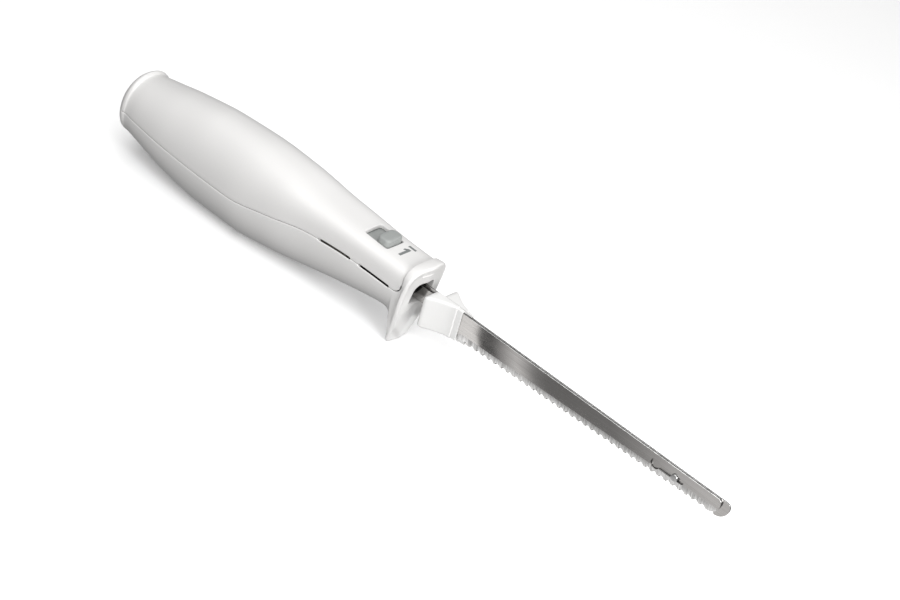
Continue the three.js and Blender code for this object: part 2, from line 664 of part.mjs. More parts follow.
function housings() {
  const outside = handleBody(0, HANDLE_REAR, HANDLE_FRONT, HANDLE_SIDES, HANDLE_STEP);
  const cavityFront = GUARD_FRONT - GUARD_WALL;
  const cavity = handleBody(WALL, HANDLE_REAR + REAR_WALL, cavityFront, CAVITY_SIDES, CAVITY_STEP);
  const bosses = HOUSING_SCREWS.map(([x, y]) => rodZ(BOSS_RADIUS, -BEYOND, BEYOND, x, y));
  const below = box(HANDLE_REAR - OVER, BEYOND, -BEYOND, BEYOND, -BEYOND, FLOOR_LEVEL);
  const inlet = rodX(INLET_RADIUS + FIT, HANDLE_REAR - OVER, HANDLE_REAR + INLET_LENGTH, 0, inletLevel);
  const openings = [...screwHoles(), ...ventCutters(), inlet, below];

  const upperInside = common(join(...bosses, ...sliderRails()), outside);
  const upperShell = join(cut(outside, cavity), upperInside);
  const slotHalf = SWITCH_SLOT_WIDTH / 2;
  const slotOutline = roundedRectangle(
    SWITCH_SLOT_REAR, SWITCH_SLOT_FRONT, -slotHalf, slotHalf, SWITCH_SLOT_CORNER,
  );
  const slot = slabXY(slotOutline, SLIDER_TOP, BEYOND, 0);
  const upper = join(cut(common(upperShell, coverSpace(SEAM / 2)), slot, ...openings), ...coverHooks());

  const lowerInside = common(join(...bosses, ...seatRibs()), outside);
  const lowerShell = join(cut(join(outside, guardBody()), cavity), lowerInside);
  const lower = cut(lowerShell, coverSpace(-SEAM / 2), bladeHole(), ...openings);
  return { upper, lower };
}

// A ring turned from a profile of radius and distance along X
function ringX(profile, x, z) {
  const closed = [...profile, profile[0]].map(([radius, along]) => new THREE.Vector2(radius, along));
  return new THREE.LatheGeometry(closed, ROUND).rotateZ(-Math.PI / 2).translate(x, 0, z);
}

function cordGland() {
  const seat = INLET_LENGTH + FIT;
  const flange = INLET_RADIUS + INLET_FLANGE;
  return ringX([
    [INLET_BORE, 0],
    [INLET_RADIUS - INLET_CHAMFER, 0],
    [INLET_RADIUS, INLET_CHAMFER],
    [INLET_RADIUS, seat],
    [flange, seat],
    [flange, seat + INLET_FLANGE_THICKNESS],
    [INLET_BORE, seat + INLET_FLANGE_THICKNESS],
  ], HANDLE_REAR, inletLevel);
}

// Switch

function switchSlider() {
  const half = SWITCH_SLOT_WIDTH / 2 - RUN;
  const front = SWITCH_SLOT_FRONT - RUN;
  const lugHalf = SWITCH_LUG / 2;
  const plate = box(SLIDER_REAR, SLIDER_FRONT, -SLIDER_HALF, SLIDER_HALF, SLIDER_BOTTOM, SLIDER_TOP);
  const tail = box(LUG_REAR, SLIDER_REAR + OVER, -SWITCH_LUG, SWITCH_LUG, SLIDER_BOTTOM, SLIDER_TOP);
  const lugBottom = SLIDER_BOTTOM - SWITCH_LUG_DEPTH;
  const lug = box(LUG_REAR, LUG_REAR + SWITCH_LUG, -lugHalf, lugHalf, lugBottom, SLIDER_TOP);
  const outline = roundedRectangle(front - BUTTON_LENGTH, front, -half, half, BUTTON_CORNER);
  const button = slabXY(outline, SLIDER_TOP - OVER, BUTTON_TOP, BUTTON_ROUND);
  return join(plate, tail, lug, button);
}

// The switch stands on the keeper, and its groove takes the slider's lug
function switchBody() {
  const roof = SLIDER_BOTTOM - RUN;
  const rear = LUG_REAR - SWITCH_TRAVEL - RUN;
  const front = LUG_REAR + SWITCH_LUG + RUN;
  const wall = SWITCH_BODY_WALL;
  const half = SWITCH_BODY_HALF;
  const grooveHalf = SWITCH_LUG / 2 + RUN;
  const body = box(rear - wall, front + wall, -half, half, KEEPER_TOP + REST, roof);
  const groove = box(rear, front, -grooveHalf, grooveHalf, roof - SWITCH_LUG_DEPTH, roof + OVER);
  return cut(body, groove);
}

// Motor

function fieldCore() {
  const low = MOTOR_AXIS - FIELD_HALF_HEIGHT;
  const high = MOTOR_AXIS + FIELD_HALF_HEIGHT;
  const shape = roundedRectangle(-FIELD_HALF_WIDTH, FIELD_HALF_WIDTH, low, high, FIELD_CORNER);
  const core = slabYZ(shape, CORE_REAR, CORE_FRONT);
  const bore = rodX(FIELD_BORE, CORE_REAR - OVER, CORE_FRONT + OVER, 0, MOTOR_AXIS, ROUND_LARGE);
  const half = COIL_WIDTH + 2 * REST;
  const reach = COIL_OUTER + REST;
  const coilSpace = [MOTOR_AXIS - reach, MOTOR_AXIS + reach];
  const window = box(CORE_REAR - OVER, CORE_FRONT + OVER, -half, half, ...coilSpace);
  return cut(core, bore, window);
}

// One field coil: two straight sides through the core, joined by half rings round its ends
function fieldCoil(side) {
  const band = ordered(side * REST, side * (REST + COIL_WIDTH));
  const half = ordered(side * REST, side * BEYOND);
  const rear = CORE_REAR - REST - COIL_OVERHANG;
  const front = CORE_FRONT + REST + COIL_OVERHANG;
  const bars = [-1, 1].map((end) => {
    const heights = ordered(MOTOR_AXIS + end * COIL_INNER, MOTOR_AXIS + end * COIL_OUTER);
    return box(rear, front, ...band, ...heights);
  });
  const turns = [rear, front - COIL_OVERHANG].map((x) => {
    const ring = cut(
      rodX(COIL_OUTER, x, x + COIL_OVERHANG, 0, MOTOR_AXIS, ROUND_LARGE),
      rodX(COIL_INNER, x - OVER, x + COIL_OVERHANG + OVER, 0, MOTOR_AXIS, ROUND_LARGE),
    );
    return common(ring, box(x - OVER, x + COIL_OVERHANG + OVER, ...half, -BEYOND, BEYOND));
  });
  return join(...bars, ...turns);
}

// Copies of a piece turned about the motor's axis, the first one turned by part of a step
function aroundMotor(piece, count, start) {
  return Array.from({ length: count }, (_, k) => {
    const angle = (k + start) / count * 2 * Math.PI;
    return piece.clone().rotateX(angle).translate(0, 0, MOTOR_AXIS);
  });
}

function armatureCore() {
  const rear = CORE_REAR - OVER;
  const front = CORE_FRONT + OVER;
  const half = ARMATURE_SLOT_WIDTH / 2;
  const body = rodX(ARMATURE_RADIUS, CORE_REAR, CORE_FRONT, 0, MOTOR_AXIS, 2 * ARMATURE_SLOTS);
  const slot = box(rear, front, -half, half, ARMATURE_RADIUS - ARMATURE_SLOT_DEPTH, ARMATURE_RADIUS + OVER);
  return cut(body, rodX(SHAFT_BORE, rear, front, 0, MOTOR_AXIS), ...aroundMotor(slot, ARMATURE_SLOTS, 0));
}

function armatureWinding(x) {
  const third = WINDING_LENGTH / 3;
  return ringX([
    [SHAFT_BORE, 0],
    [WINDING_RADIUS - WINDING_ROUND, 0],
    [WINDING_RADIUS, third],
    [WINDING_RADIUS, 2 * third],
    [WINDING_RADIUS - WINDING_ROUND, WINDING_LENGTH],
    [SHAFT_BORE, WINDING_LENGTH],
  ], x, MOTOR_AXIS);
}

function shaftRing(outer, length, x) {
  return ringX([[SHAFT_BORE, 0], [outer, 0], [outer, length], [SHAFT_BORE, length]], x, MOTOR_AXIS);
}

function commutator() {
  const rear = COMMUTATOR_REAR - OVER;
  const front = COMMUTATOR_REAR + COMMUTATOR_LENGTH - COMMUTATOR_RISER;
  const half = BAR_GAP / 2;
  const gap = box(rear, front, -half, half, COMMUTATOR_RADIUS - BAR_GAP_DEPTH, COMMUTATOR_RADIUS + OVER);
  const ring = shaftRing(COMMUTATOR_RADIUS, COMMUTATOR_LENGTH, COMMUTATOR_REAR);
  return cut(ring, ...aroundMotor(gap, ARMATURE_SLOTS, 0.5));
}

function coolingFan() {
  const hubRadius = SHAFT_BORE + FAN_HUB_WALL;
  const half = FAN_BLADE_THICKNESS / 2;
  const root = hubRadius - FAN_HUB_WALL / 2;
  const hub = shaftRing(hubRadius, FAN_LENGTH, FAN_REAR);
  const disc = shaftRing(FAN_RADIUS, FAN_DISC, FAN_REAR);
  const vane = box(FAN_REAR + FAN_DISC / 2, FAN_REAR + FAN_LENGTH, -half, half, root, FAN_RADIUS);
  return join(hub, disc, ...aroundMotor(vane, FAN_BLADES, 0));
}

function armatureShaft() {
  return rodX(SHAFT_RADIUS, SHAFT_REAR, SHAFT_FRONT, 0, MOTOR_AXIS);
}

// A square bar across the knife at the commutator, between two distances from the middle
function brushBar(side, half, from, to) {
  const ends = ordered(side * from, side * to);
  return box(BRUSH_X - half, BRUSH_X + half, ...ends, MOTOR_AXIS - half, MOTOR_AXIS + half);
}

function brushHolder(side) {
  const outer = HOLDER_INNER + HOLDER_LENGTH;
  const body = brushBar(side, HOLDER_HALF, HOLDER_INNER, outer);
  return cut(body, brushBar(side, HOLDER_HALF - HOLDER_WALL, HOLDER_INNER - OVER, outer - HOLDER_WALL));
}

function carbonBrush(side) {
  return brushBar(side, BRUSH_SIDE / 2, BRUSH_INNER, BRUSH_INNER + BRUSH_LENGTH);
}

// Rear bearing bridge with a shelf under each brush holder
function rearBridge() {
  const rear = REAR_BEARING_X + (BEARING_LENGTH - BRIDGE_THICKNESS) / 2;
  const front = rear + BRIDGE_THICKNESS;
  const low = MOTOR_AXIS - BRIDGE_HALF_HEIGHT;
  const high = MOTOR_AXIS + BRIDGE_HALF_HEIGHT;
  const shape = roundedRectangle(-BRIDGE_HALF_WIDTH, BRIDGE_HALF_WIDTH, low, high, BRIDGE_CORNER);
  const shelfTop = MOTOR_AXIS - HOLDER_HALF - REST;
  const shelves = [-1, 1].map((side) => {
    const ends = ordered(side * HOLDER_INNER, side * BRIDGE_HALF_WIDTH);
    return box(front - OVER, BRUSH_X + HOLDER_HALF, ...ends, shelfTop - SHELF_THICKNESS, shelfTop);
  });
  const seat = rodX(BEARING_RADIUS + FIT, rear - OVER, front + OVER, 0, MOTOR_AXIS);
  return cut(join(slabYZ(shape, rear, front), ...shelves), seat);
}

// Worm drive

// A right-hand thread with one start, with a gap over its middle for the gear's lowest tooth
function wormPiece() {
  const rear = GEAR_X - WORM_LENGTH / 2;
  const front = rear + WORM_LENGTH;
  const lead = Math.PI * GEAR_MODULE;
  const turns = (WORM_LENGTH - 2 * THREAD_ROOT) / lead;
  const foot = WORM_ROOT - (WORM_ROOT - SHAFT_BORE) / 2;
  const tip = WORM_ROOT + THREAD_HEIGHT;
  const rings = [];
  for (let k = 0; k <= Math.round(turns * THREAD_STEPS); k += 1) {
    const turn = k / THREAD_STEPS - turns / 2;
    const angle = turn * 2 * Math.PI;
    const x = GEAR_X + (turn + 0.5) * lead;
    const corners = [
      [x - THREAD_ROOT / 2, foot],
      [x + THREAD_ROOT / 2, foot],
      [x + THREAD_TIP / 2, tip],
      [x - THREAD_TIP / 2, tip],
    ];
    rings.push(corners.map(([along, radius]) => [
      along,
      -radius * Math.sin(angle),
      MOTOR_AXIS + radius * Math.cos(angle),
    ]));
  }
  const blank = box(rear, front, -BEYOND, BEYOND, -BEYOND, BEYOND);
  const threaded = common(join(shaftRing(WORM_ROOT, WORM_LENGTH, rear), loft(rings)), blank);
  return cut(threaded, rodX(SHAFT_BORE, rear - OVER, front + OVER, 0, MOTOR_AXIS));
}

// The gear, with an eccentric on each side: the left one forward and the right one back
function driveGear() {
  const root = GEAR_RADIUS - GEAR_DEDENDUM * GEAR_MODULE;
  const tip = GEAR_RADIUS + GEAR_ADDENDUM * GEAR_MODULE;
  const rootHalf = TOOTH_ROOT / 2 / root;
  const tipHalf = TOOTH_TIP / 2 / tip;
  const corners = [[root, -rootHalf], [tip, -tipHalf], [tip, tipHalf], [root, rootHalf]];
  const points = Array.from({ length: GEAR_TEETH }, (_, k) => {
    const middle = k / GEAR_TEETH * 2 * Math.PI - Math.PI / 2;
    return corners.map(([radius, turn]) => new THREE.Vector2(
      radius * Math.cos(middle + turn),
      radius * Math.sin(middle + turn),
    ));
  });
  const disc = slabXZ(new THREE.Shape(points.flat()), -GEAR_HALF_WIDTH, GEAR_HALF_WIDTH);
  const eccentrics = [-1, 1].map((side) => {
    const ends = ordered(0, side * ECCENTRIC_OUTER);
    return rodY(ECCENTRIC_RADIUS, ...ends, side * ECCENTRICITY, 0, ROUND_LARGE);
  });
  const bore = rodY(AXLE_RADIUS + FIT, -BEYOND, BEYOND, 0, 0);
  return cut(join(disc, ...eccentrics), bore).translate(GEAR_X, 0, GEAR_AXIS);
}

function gearAxle() {
  return rodY(AXLE_RADIUS, -FRAME_OUTER, FRAME_OUTER, GEAR_X, GEAR_AXIS);
}

// Drive frame: rear wall with the front motor bearing, side plates with the axle, floor under the carriers
function gearFrame() {
  const bottom = FRAME_FLOOR - FRAME_WALL;
  const plateTop = GEAR_AXIS + AXLE_RADIUS + AXLE_SHOULDER;
  const wallFront = FRAME_REAR + FRAME_REAR_WALL;
  const highFront = KEEPER_REAR - KEEPER_CLEAR;
  const wall = box(FRAME_REAR, wallFront, -FRAME_REAR_HALF, FRAME_REAR_HALF, FRAME_FOOT, plateTop);
  const plates = [-1, 1].flatMap((side) => {
    const ends = ordered(side * FRAME_INNER, side * FRAME_OUTER);
    return [
      box(wallFront - OVER, highFront, ...ends, bottom, plateTop),
      box(highFront - OVER, FRAME_FRONT, ...ends, bottom, KEEPER_BOTTOM - REST),
    ];
  });
  const floor = box(SHAFT_FRONT + FRAME_CLEAR, FRAME_FRONT, -FRAME_OUTER, FRAME_OUTER, bottom, FRAME_FLOOR);
  const seat = rodX(BEARING_RADIUS + FIT, FRAME_REAR - OVER, wallFront + OVER, 0, MOTOR_AXIS);
  const axle = rodY(AXLE_RADIUS + FIT, -BEYOND, BEYOND, GEAR_X, GEAR_AXIS);
  return cut(join(wall, ...plates, floor), seat, axle, ...keeperScrewHoles());
}

function keeperScrewHoles() {
  const end = KEEPER_BOTTOM - KEEPER_SCREW_DEPTH - OVER;
  return KEEPER_SCREWS.map(([x, y]) => rodZ(KEEPER_SCREW_RADIUS + FIT, end, KEEPER_TOP + OVER, x, y));
}

function carrierKeeper() {
  const half = FRAME_OUTER + KEEPER_EDGE;
  const plate = box(KEEPER_REAR, FRAME_FRONT, -half, half, KEEPER_BOTTOM, KEEPER_TOP);
  return cut(plate, ...keeperScrewHoles());
}

function keeperScrew([x, y]) {
  const end = KEEPER_BOTTOM - KEEPER_SCREW_DEPTH;
  const seat = KEEPER_TOP + FIT;
  return screw(x, y, seat, KEEPER_SCREW_HEAD, KEEPER_SCREW_HEAD_HEIGHT, KEEPER_SCREW_RADIUS, end);
}

// Carriers and blades are drawn for the left side at the middle of the stroke.
// The right one is the mirror image, and each is then set at its end of the stroke.

function placeSide(geometry, side) {
  const placed = geometry.clone();
  if (side < 0) {
    placed.scale(1, -1, 1);
    const index = placed.index.array;
    for (let k = 0; k < index.length; k += 3) [index[k], index[k + 1]] = [index[k + 1], index[k]];
  }
  return placed.translate(side * ECCENTRICITY, 0, 0);
}

const tangTop = (side) => TANG_BOTTOM + TANG_HEIGHTS[side > 0 ? 0 : 1];

// An arm with a yoke over the eccentric, and a socket for the tang in front
function bladeCarrier(side) {
  const inner = YOKE_HALF_LENGTH;
  const outer = inner + YOKE_BAR;
  const armFront = SOCKET_REAR + OVER;
  const shape = new THREE.Shape();
  shape.moveTo(GEAR_X - outer, ARM_BOTTOM);
  shape.lineTo(GEAR_X - inner, ARM_BOTTOM);
  shape.lineTo(GEAR_X - inner, YOKE_TOP - YOKE_BAR);
  shape.lineTo(GEAR_X + inner, YOKE_TOP - YOKE_BAR);
  shape.lineTo(GEAR_X + inner, ARM_BOTTOM);
  shape.lineTo(armFront, ARM_BOTTOM);
  shape.lineTo(armFront, ARM_TOP);
  shape.lineTo(GEAR_X + outer + ARM_FILLET, ARM_TOP);
  shape.quadraticCurveTo(GEAR_X + outer, ARM_TOP, GEAR_X + outer, ARM_TOP + ARM_FILLET);
  shape.lineTo(GEAR_X + outer, YOKE_TOP);
  shape.lineTo(GEAR_X - outer, YOKE_TOP);
  const arm = slabXZ(shape, CARRIER_INNER, CARRIER_OUTER);
  const pocketBottom = TANG_BOTTOM - RUN;
  const pocketTop = tangTop(side) + RUN;
  const socketHeights = [pocketBottom - SOCKET_WALL, pocketTop + SOCKET_WALL];
  const socket = box(SOCKET_REAR, SOCKET_FRONT, BLADE_INNER, CARRIER_OUTER, ...socketHeights);
  const pocket = box(
    TANG_REAR - REST, SOCKET_FRONT + OVER, -OVER, BLADE_OUTER + RUN, pocketBottom, pocketTop,
  );
  return placeSide(cut(join(arm, socket), pocket), side);
}

const edgeHeight = (x) => {
  const t = (x - FIRST_TOOTH) / (LAST_TOOTH - FIRST_TOOTH);
  return EDGE_AT_HUB + t * (EDGE_AT_TIP - EDGE_AT_HUB);
};

function bladeOutline(side) {
  const shape = new THREE.Shape();
  shape.moveTo(TANG_REAR, TANG_BOTTOM);
  shape.lineTo(SHOULDER_X, TANG_BOTTOM);
  shape.lineTo(SHOULDER_FRONT, ROOT_BOTTOM);
  shape.lineTo(HEEL_X, ROOT_BOTTOM);
  shape.lineTo(HEEL_X + HEEL_LENGTH, edgeHeight(HEEL_X));
  shape.lineTo(FIRST_TOOTH, edgeHeight(FIRST_TOOTH));
  const teeth = Math.round((LAST_TOOTH - FIRST_TOOTH) / TOOTH_PITCH);
  const pitch = (LAST_TOOTH - FIRST_TOOTH) / teeth;
  for (let k = 1; k <= teeth * SCALLOP_STEPS; k += 1) {
    const x = FIRST_TOOTH + k / SCALLOP_STEPS * pitch;
    const share = k % SCALLOP_STEPS / SCALLOP_STEPS;
    shape.lineTo(x, edgeHeight(x) + SCALLOP_DEPTH * 4 * share * (1 - share));
  }
  shape.absarc(TIP_X - TIP_ROUND, edgeHeight(TIP_X) + TIP_ROUND, TIP_ROUND, -Math.PI / 2, 0);
  shape.lineTo(TIP_X, SPINE_AT_TIP);
  shape.lineTo(SHOULDER_FRONT, SPINE_AT_HUB);
  shape.lineTo(SHOULDER_X, tangTop(side));
  shape.lineTo(TANG_REAR, tangTop(side));
  return shape;
}

// The grind takes the outer face down to a thin edge along the teeth
function grindCutter() {
  const rings = [HEEL_X + HEEL_LENGTH / 2, TIP_X + OVER].map((x) => {
    const edge = edgeHeight(x);
    return [
      [x, BLADE_OUTER, edge + GRIND_HEIGHT],
      [x, BLADE_INNER + GRIND_EDGE, edge],
      [x, BLADE_INNER + GRIND_EDGE, edge - BEYOND],
      [x, BLADE_OUTER + OVER, edge - BEYOND],
      [x, BLADE_OUTER + OVER, edge + GRIND_HEIGHT],
    ];
  });
  return loft(rings);
}

function keyhole() {
  const ends = [-OVER, BLADE_OUTER + OVER];
  const middle = KEYHOLE_REAR + KEYHOLE_ROUND;
  const half = KEYHOLE_SLOT / 2;
  const outline = new THREE.Shape();
  outline.moveTo(middle, KEYHOLE_Z - half);
  outline.lineTo(KEYHOLE_FRONT - half, KEYHOLE_Z - half);
  outline.absarc(KEYHOLE_FRONT - half, KEYHOLE_Z, half, -Math.PI / 2, Math.PI / 2);
  outline.lineTo(middle, KEYHOLE_Z + half);
  return [rodY(KEYHOLE_ROUND, ...ends, middle, KEYHOLE_Z), slabXZ(outline, ...ends)];
}

function blade(side) {
  const plate = slabXZ(bladeOutline(side), BLADE_INNER, BLADE_OUTER);
  const rivetHole = rodY(STUD_NECK + FIT, -OVER, BLADE_OUTER + OVER, STUD_X, KEYHOLE_Z, ROUND_SMALL);
  const holes = side > 0 ? [rivetHole] : keyhole();
  return placeSide(cut(plate, grindCutter(), ...holes), side);
}

// The stud is riveted to the left blade and hooks through the keyhole of the right one
function bladeStud() {
  const near = BLADE_OUTER + FIT;
  const far = -BLADE_OUTER - RUN;
  const head = rodY(STUD_HEAD, far - STUD_HEAD_THICKNESS, far, 0, 0);
  const neck = rodY(STUD_NECK, far - STUD_HEAD_THICKNESS / 2, near + RIVET_THICKNESS / 2, 0, 0, ROUND_SMALL);
  const rivet = rodY(STUD_HEAD, near, near + RIVET_THICKNESS, 0, 0);
  return join(neck, head, rivet).translate(STUD_X + ECCENTRICITY, 0, KEYHOLE_Z);
}

// Half width of the hubs along the knife: a wide rear that sweeps in to the blade
const hubHalf = (x) => {
  const t = Math.min(1, (x - HUB_REAR) / HUB_LENGTH);
  return HUB_FRONT_HALF + (HUB_REAR_HALF - HUB_FRONT_HALF) * (1 - t) ** 2;
};

// A section of both hubs together, with rounded corners, drawn in by an inset
function hubRing(x, inset) {
  const half = hubHalf(x) - inset;
  const outline = roundedRectangle(-half, half, HUB_BOTTOM + inset, HUB_TOP - inset, HUB_ROUND);
  return outline.getPoints(3).slice(0, -1).map(({ x: y, y: z }) => [x, y, z]);
}

// A moulded half hub: a flared wedge with a thin collar in front, hollowed for its blade
function bladeHub(side) {
  const rear = [0, Math.PI / 4, Math.PI / 2].map((angle) => {
    const along = HUB_REAR_ROUND * (1 - Math.cos(angle));
    return hubRing(HUB_REAR + along, HUB_REAR_ROUND * (1 - Math.sin(angle)));
  });
  const sweep = stationsAlong(HUB_REAR + 2 * HUB_REAR_ROUND, HUB_FRONT, HUB_STEP).map((x) => hubRing(x, 0));
  const collarHeights = [HUB_BOTTOM + COLLAR_STEP, HUB_TOP - COLLAR_STEP];
  const collar = box(HUB_FRONT - OVER, COLLAR_FRONT, -COLLAR_HALF, COLLAR_HALF, ...collarHeights);
  const whole = join(loft([...rear, ...sweep]), collar);
  const past = COLLAR_FRONT + OVER;
  const face = BLADE_OUTER + FIT;
  const spine = SPINE_AT_HUB + FIT;
  const otherHalf = box(HUB_REAR - OVER, past, -BEYOND, BLADE_INNER, -BEYOND, BEYOND);
  const tang = box(
    HUB_REAR - OVER, SHOULDER_FRONT + FIT, -OVER, face, TANG_BOTTOM - FIT, tangTop(side) + FIT,
  );
  const root = box(SHOULDER_X - FIT, past, -OVER, face, ROOT_BOTTOM - FIT, spine);
  return placeSide(cut(whole, otherHalf, tang, root), side);
}

// Materials

function finish(color, roughness, metalness) {
  return new THREE.MeshStandardMaterial({ color, roughness, metalness });
}

const WHITE = finish(0xeeece8, 0.3, 0);
const HUB_WHITE = finish(0xf5f5f2, 0.4, 0);
const GREY = finish(0xa9adaa, 0.45, 0);
const BLACK = finish(0x202020, 0.6, 0);
const STAINLESS = finish(0xc4c2be, 0.28, 1);
const STEEL = finish(0x9a9a98, 0.4, 1);
const IRON = finish(0x6f7072, 0.5, 1);
const COPPER = finish(0xb0663a, 0.4, 1);
const BRASS = finish(0xc2a25a, 0.4, 1);
const BRONZE = finish(0x9c7a4a, 0.45, 1);
const CARBON = finish(0x2a2a2c, 0.7, 0);
const NYLON = finish(0xdcd8c8, 0.5, 0);
const RUBBER = finish(0xd8d6d0, 0.8, 0);

// Assembly

const knife = new THREE.Group();
knife.name = 'electric_knife';

function addPiece(name, geometry, material) {
  const mesh = new THREE.Mesh(geometry, material);
  mesh.name = name;
  knife.add(mesh);
}

const { upper, lower } = housings();
addPiece('upper_housing', upper, WHITE);
addPiece('lower_housing', lower, WHITE);
HOUSING_SCREWS.forEach((place, k) => addPiece(`housing_screw_${k + 1}`, housingScrew(place), STEEL));
addPiece('cord_gland', cordGland(), RUBBER);
addPiece('switch_slider', switchSlider(), GREY);
addPiece('switch_body', switchBody(), BLACK);

addPiece('field_core', fieldCore(), IRON);
addPiece('armature_shaft', armatureShaft(), STEEL);
addPiece('armature_core', armatureCore(), IRON);
addPiece('armature_winding_rear', armatureWinding(CORE_REAR - REST - WINDING_LENGTH), COPPER);
addPiece('armature_winding_front', armatureWinding(CORE_FRONT + REST), COPPER);
addPiece('commutator', commutator(), COPPER);
addPiece('cooling_fan', coolingFan(), BLACK);
addPiece('rear_bearing', shaftRing(BEARING_RADIUS, BEARING_LENGTH, REAR_BEARING_X), BRONZE);
addPiece('front_bearing', shaftRing(BEARING_RADIUS, BEARING_LENGTH, FRAME_REAR - BEARING_PROUD), BRONZE);
addPiece('rear_bridge', rearBridge(), NYLON);
addPiece('worm', wormPiece(), STEEL);

addPiece('drive_gear', driveGear(), NYLON);
addPiece('gear_axle', gearAxle(), STEEL);
addPiece('gear_frame', gearFrame(), NYLON);
addPiece('carrier_keeper', carrierKeeper(), STEEL);
KEEPER_SCREWS.forEach((place, k) => addPiece(`keeper_screw_${k + 1}`, keeperScrew(place), STEEL));

for (const [name, side] of [['left', 1], ['right', -1]]) {
  addPiece(`field_coil_${name}`, fieldCoil(side), COPPER);
  addPiece(`brush_holder_${name}`, brushHolder(side), BRASS);
  addPiece(`carbon_brush_${name}`, carbonBrush(side), CARBON);
  addPiece(`${name}_blade_carrier`, bladeCarrier(side), NYLON);
  addPiece(`${name}_blade`, blade(side), STAINLESS);
  addPiece(`${name}_blade_hub`, bladeHub(side), HUB_WHITE);
}
addPiece('blade_stud', bladeStud(), STAINLESS);

// The knife stands on the flats under its belly and its guard, centred over its length.
const tipFront = TIP_X + ECCENTRICITY;
knife.position.set(-(HANDLE_REAR + tipFront) / 2, 0, -FLOOR_LEVEL);

export default knife;
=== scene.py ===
import math
from collections import namedtuple

import bmesh
import bpy
from mathutils import Matrix, Vector


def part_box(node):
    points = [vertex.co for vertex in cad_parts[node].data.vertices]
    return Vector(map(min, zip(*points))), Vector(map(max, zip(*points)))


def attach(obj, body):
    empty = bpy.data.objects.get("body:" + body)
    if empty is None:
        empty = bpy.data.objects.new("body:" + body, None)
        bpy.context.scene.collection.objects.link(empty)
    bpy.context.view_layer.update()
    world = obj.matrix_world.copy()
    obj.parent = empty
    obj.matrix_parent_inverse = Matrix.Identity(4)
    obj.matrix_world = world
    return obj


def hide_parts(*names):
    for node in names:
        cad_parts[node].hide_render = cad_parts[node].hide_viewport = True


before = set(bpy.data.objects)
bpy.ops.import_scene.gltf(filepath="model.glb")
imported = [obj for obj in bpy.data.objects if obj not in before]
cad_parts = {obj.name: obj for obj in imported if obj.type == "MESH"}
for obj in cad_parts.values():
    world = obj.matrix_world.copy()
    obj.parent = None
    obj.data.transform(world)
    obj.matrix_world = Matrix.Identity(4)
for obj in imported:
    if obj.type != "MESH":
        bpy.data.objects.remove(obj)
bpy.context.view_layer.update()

# Lengths are in millimetres. The origin is on the blade axis, in the plane of the guard's front:
# +X points to the blade tips, +Y to the left of the knife, +Z up.
MM = 0.001
FLOOR_LEVEL = -32.5
SEAM = 0.3  # joint line between the two shells
WALL = 2.4
LIP = 0.5  # rounding of the shells' edges
FIT = 0.2  # round a piece that is pressed in
REAR_WALL = 2.9

# Handle sections from the rear end to the guard
Section = namedtuple("Section", "top bottom half joint above below")
HANDLE_SECTIONS = (
    (-240, 7, -9.5, 8.5, -1.3, 2.2, 2.2),
    (-238.4, 13.2, -14.6, 14.4, -1.3, 2.2, 2.2),
    (-235, 19.8, -18.2, 18.4, -1.35, 2.2, 2.2),
    (-232.4, 21.3, -19.4, 19.9, -1.4, 2.2, 2.2),
    (-231.3, 21.0, -19.7, 19.8, -1.4, 2.2, 2.2),
    (-230.2, 19.8, -20.0, 19.4, -1.45, 2.2, 2.2),
    (-222, 21.0, -21.4, 20.6, -1.8, 2.2, 2.2),
    (-195, 26.2, -28.6, 23.3, -2.7, 2.2, 2.1),
    (-165, 30.0, -33.0, 24.6, -3.2, 2.3, 2.0),
    (-135, 30.8, -33.0, 25.4, -2.9, 2.45, 2.0),
    (-105, 28.8, -29.4, 23.3, 1.5, 2.8, 2.15),
    (-75, 24.9, -23.9, 19.3, 6.2, 3.6, 2.3),
    (-50, 22.9, -19.1, 17.1, 7.0, 4.6, 2.3),
    (-28, 21.6, -15.3, 15.8, 6.4, 5.2, 2.3),
    (-6, 21.2, -11.5, 15.4, 5.6, 5.2, 2.3),
)
HANDLE_REAR = HANDLE_SECTIONS[0][0]
DOME_LENGTH = 10
REAR_RIM = (-233, -229)  # where the lip needs close sections
DOME_STEPS = 16
STATION = 2.2  # between the sections that are drawn
AROUND = 72  # points across a shell

# Underside from the handle down into the guard's leg: x, lowest point, squareness
UNDERSIDE = (
    (-50, -19.1, 2.3),
    (-38, -17.0, 2.3),
    (-28, -15.3, 2.3),
    (-22, -14.5, 2.25),
    (-18.5, -14.6, 2.15),
    (-15, -16.0, 2.0),
    (-12.6, -19.0, 1.9),
    (-11.2, -23.0, 1.8),
    (-10.4, -29.0, 1.75),
    (-9.9, -36.0, 1.75),
    (-9.5, -41.0, 1.75),
)
LEG_START = UNDERSIDE[0][0]
LEG_STEP = 0.7
LEG_BEND = (-16, -9)  # where the underside turns down

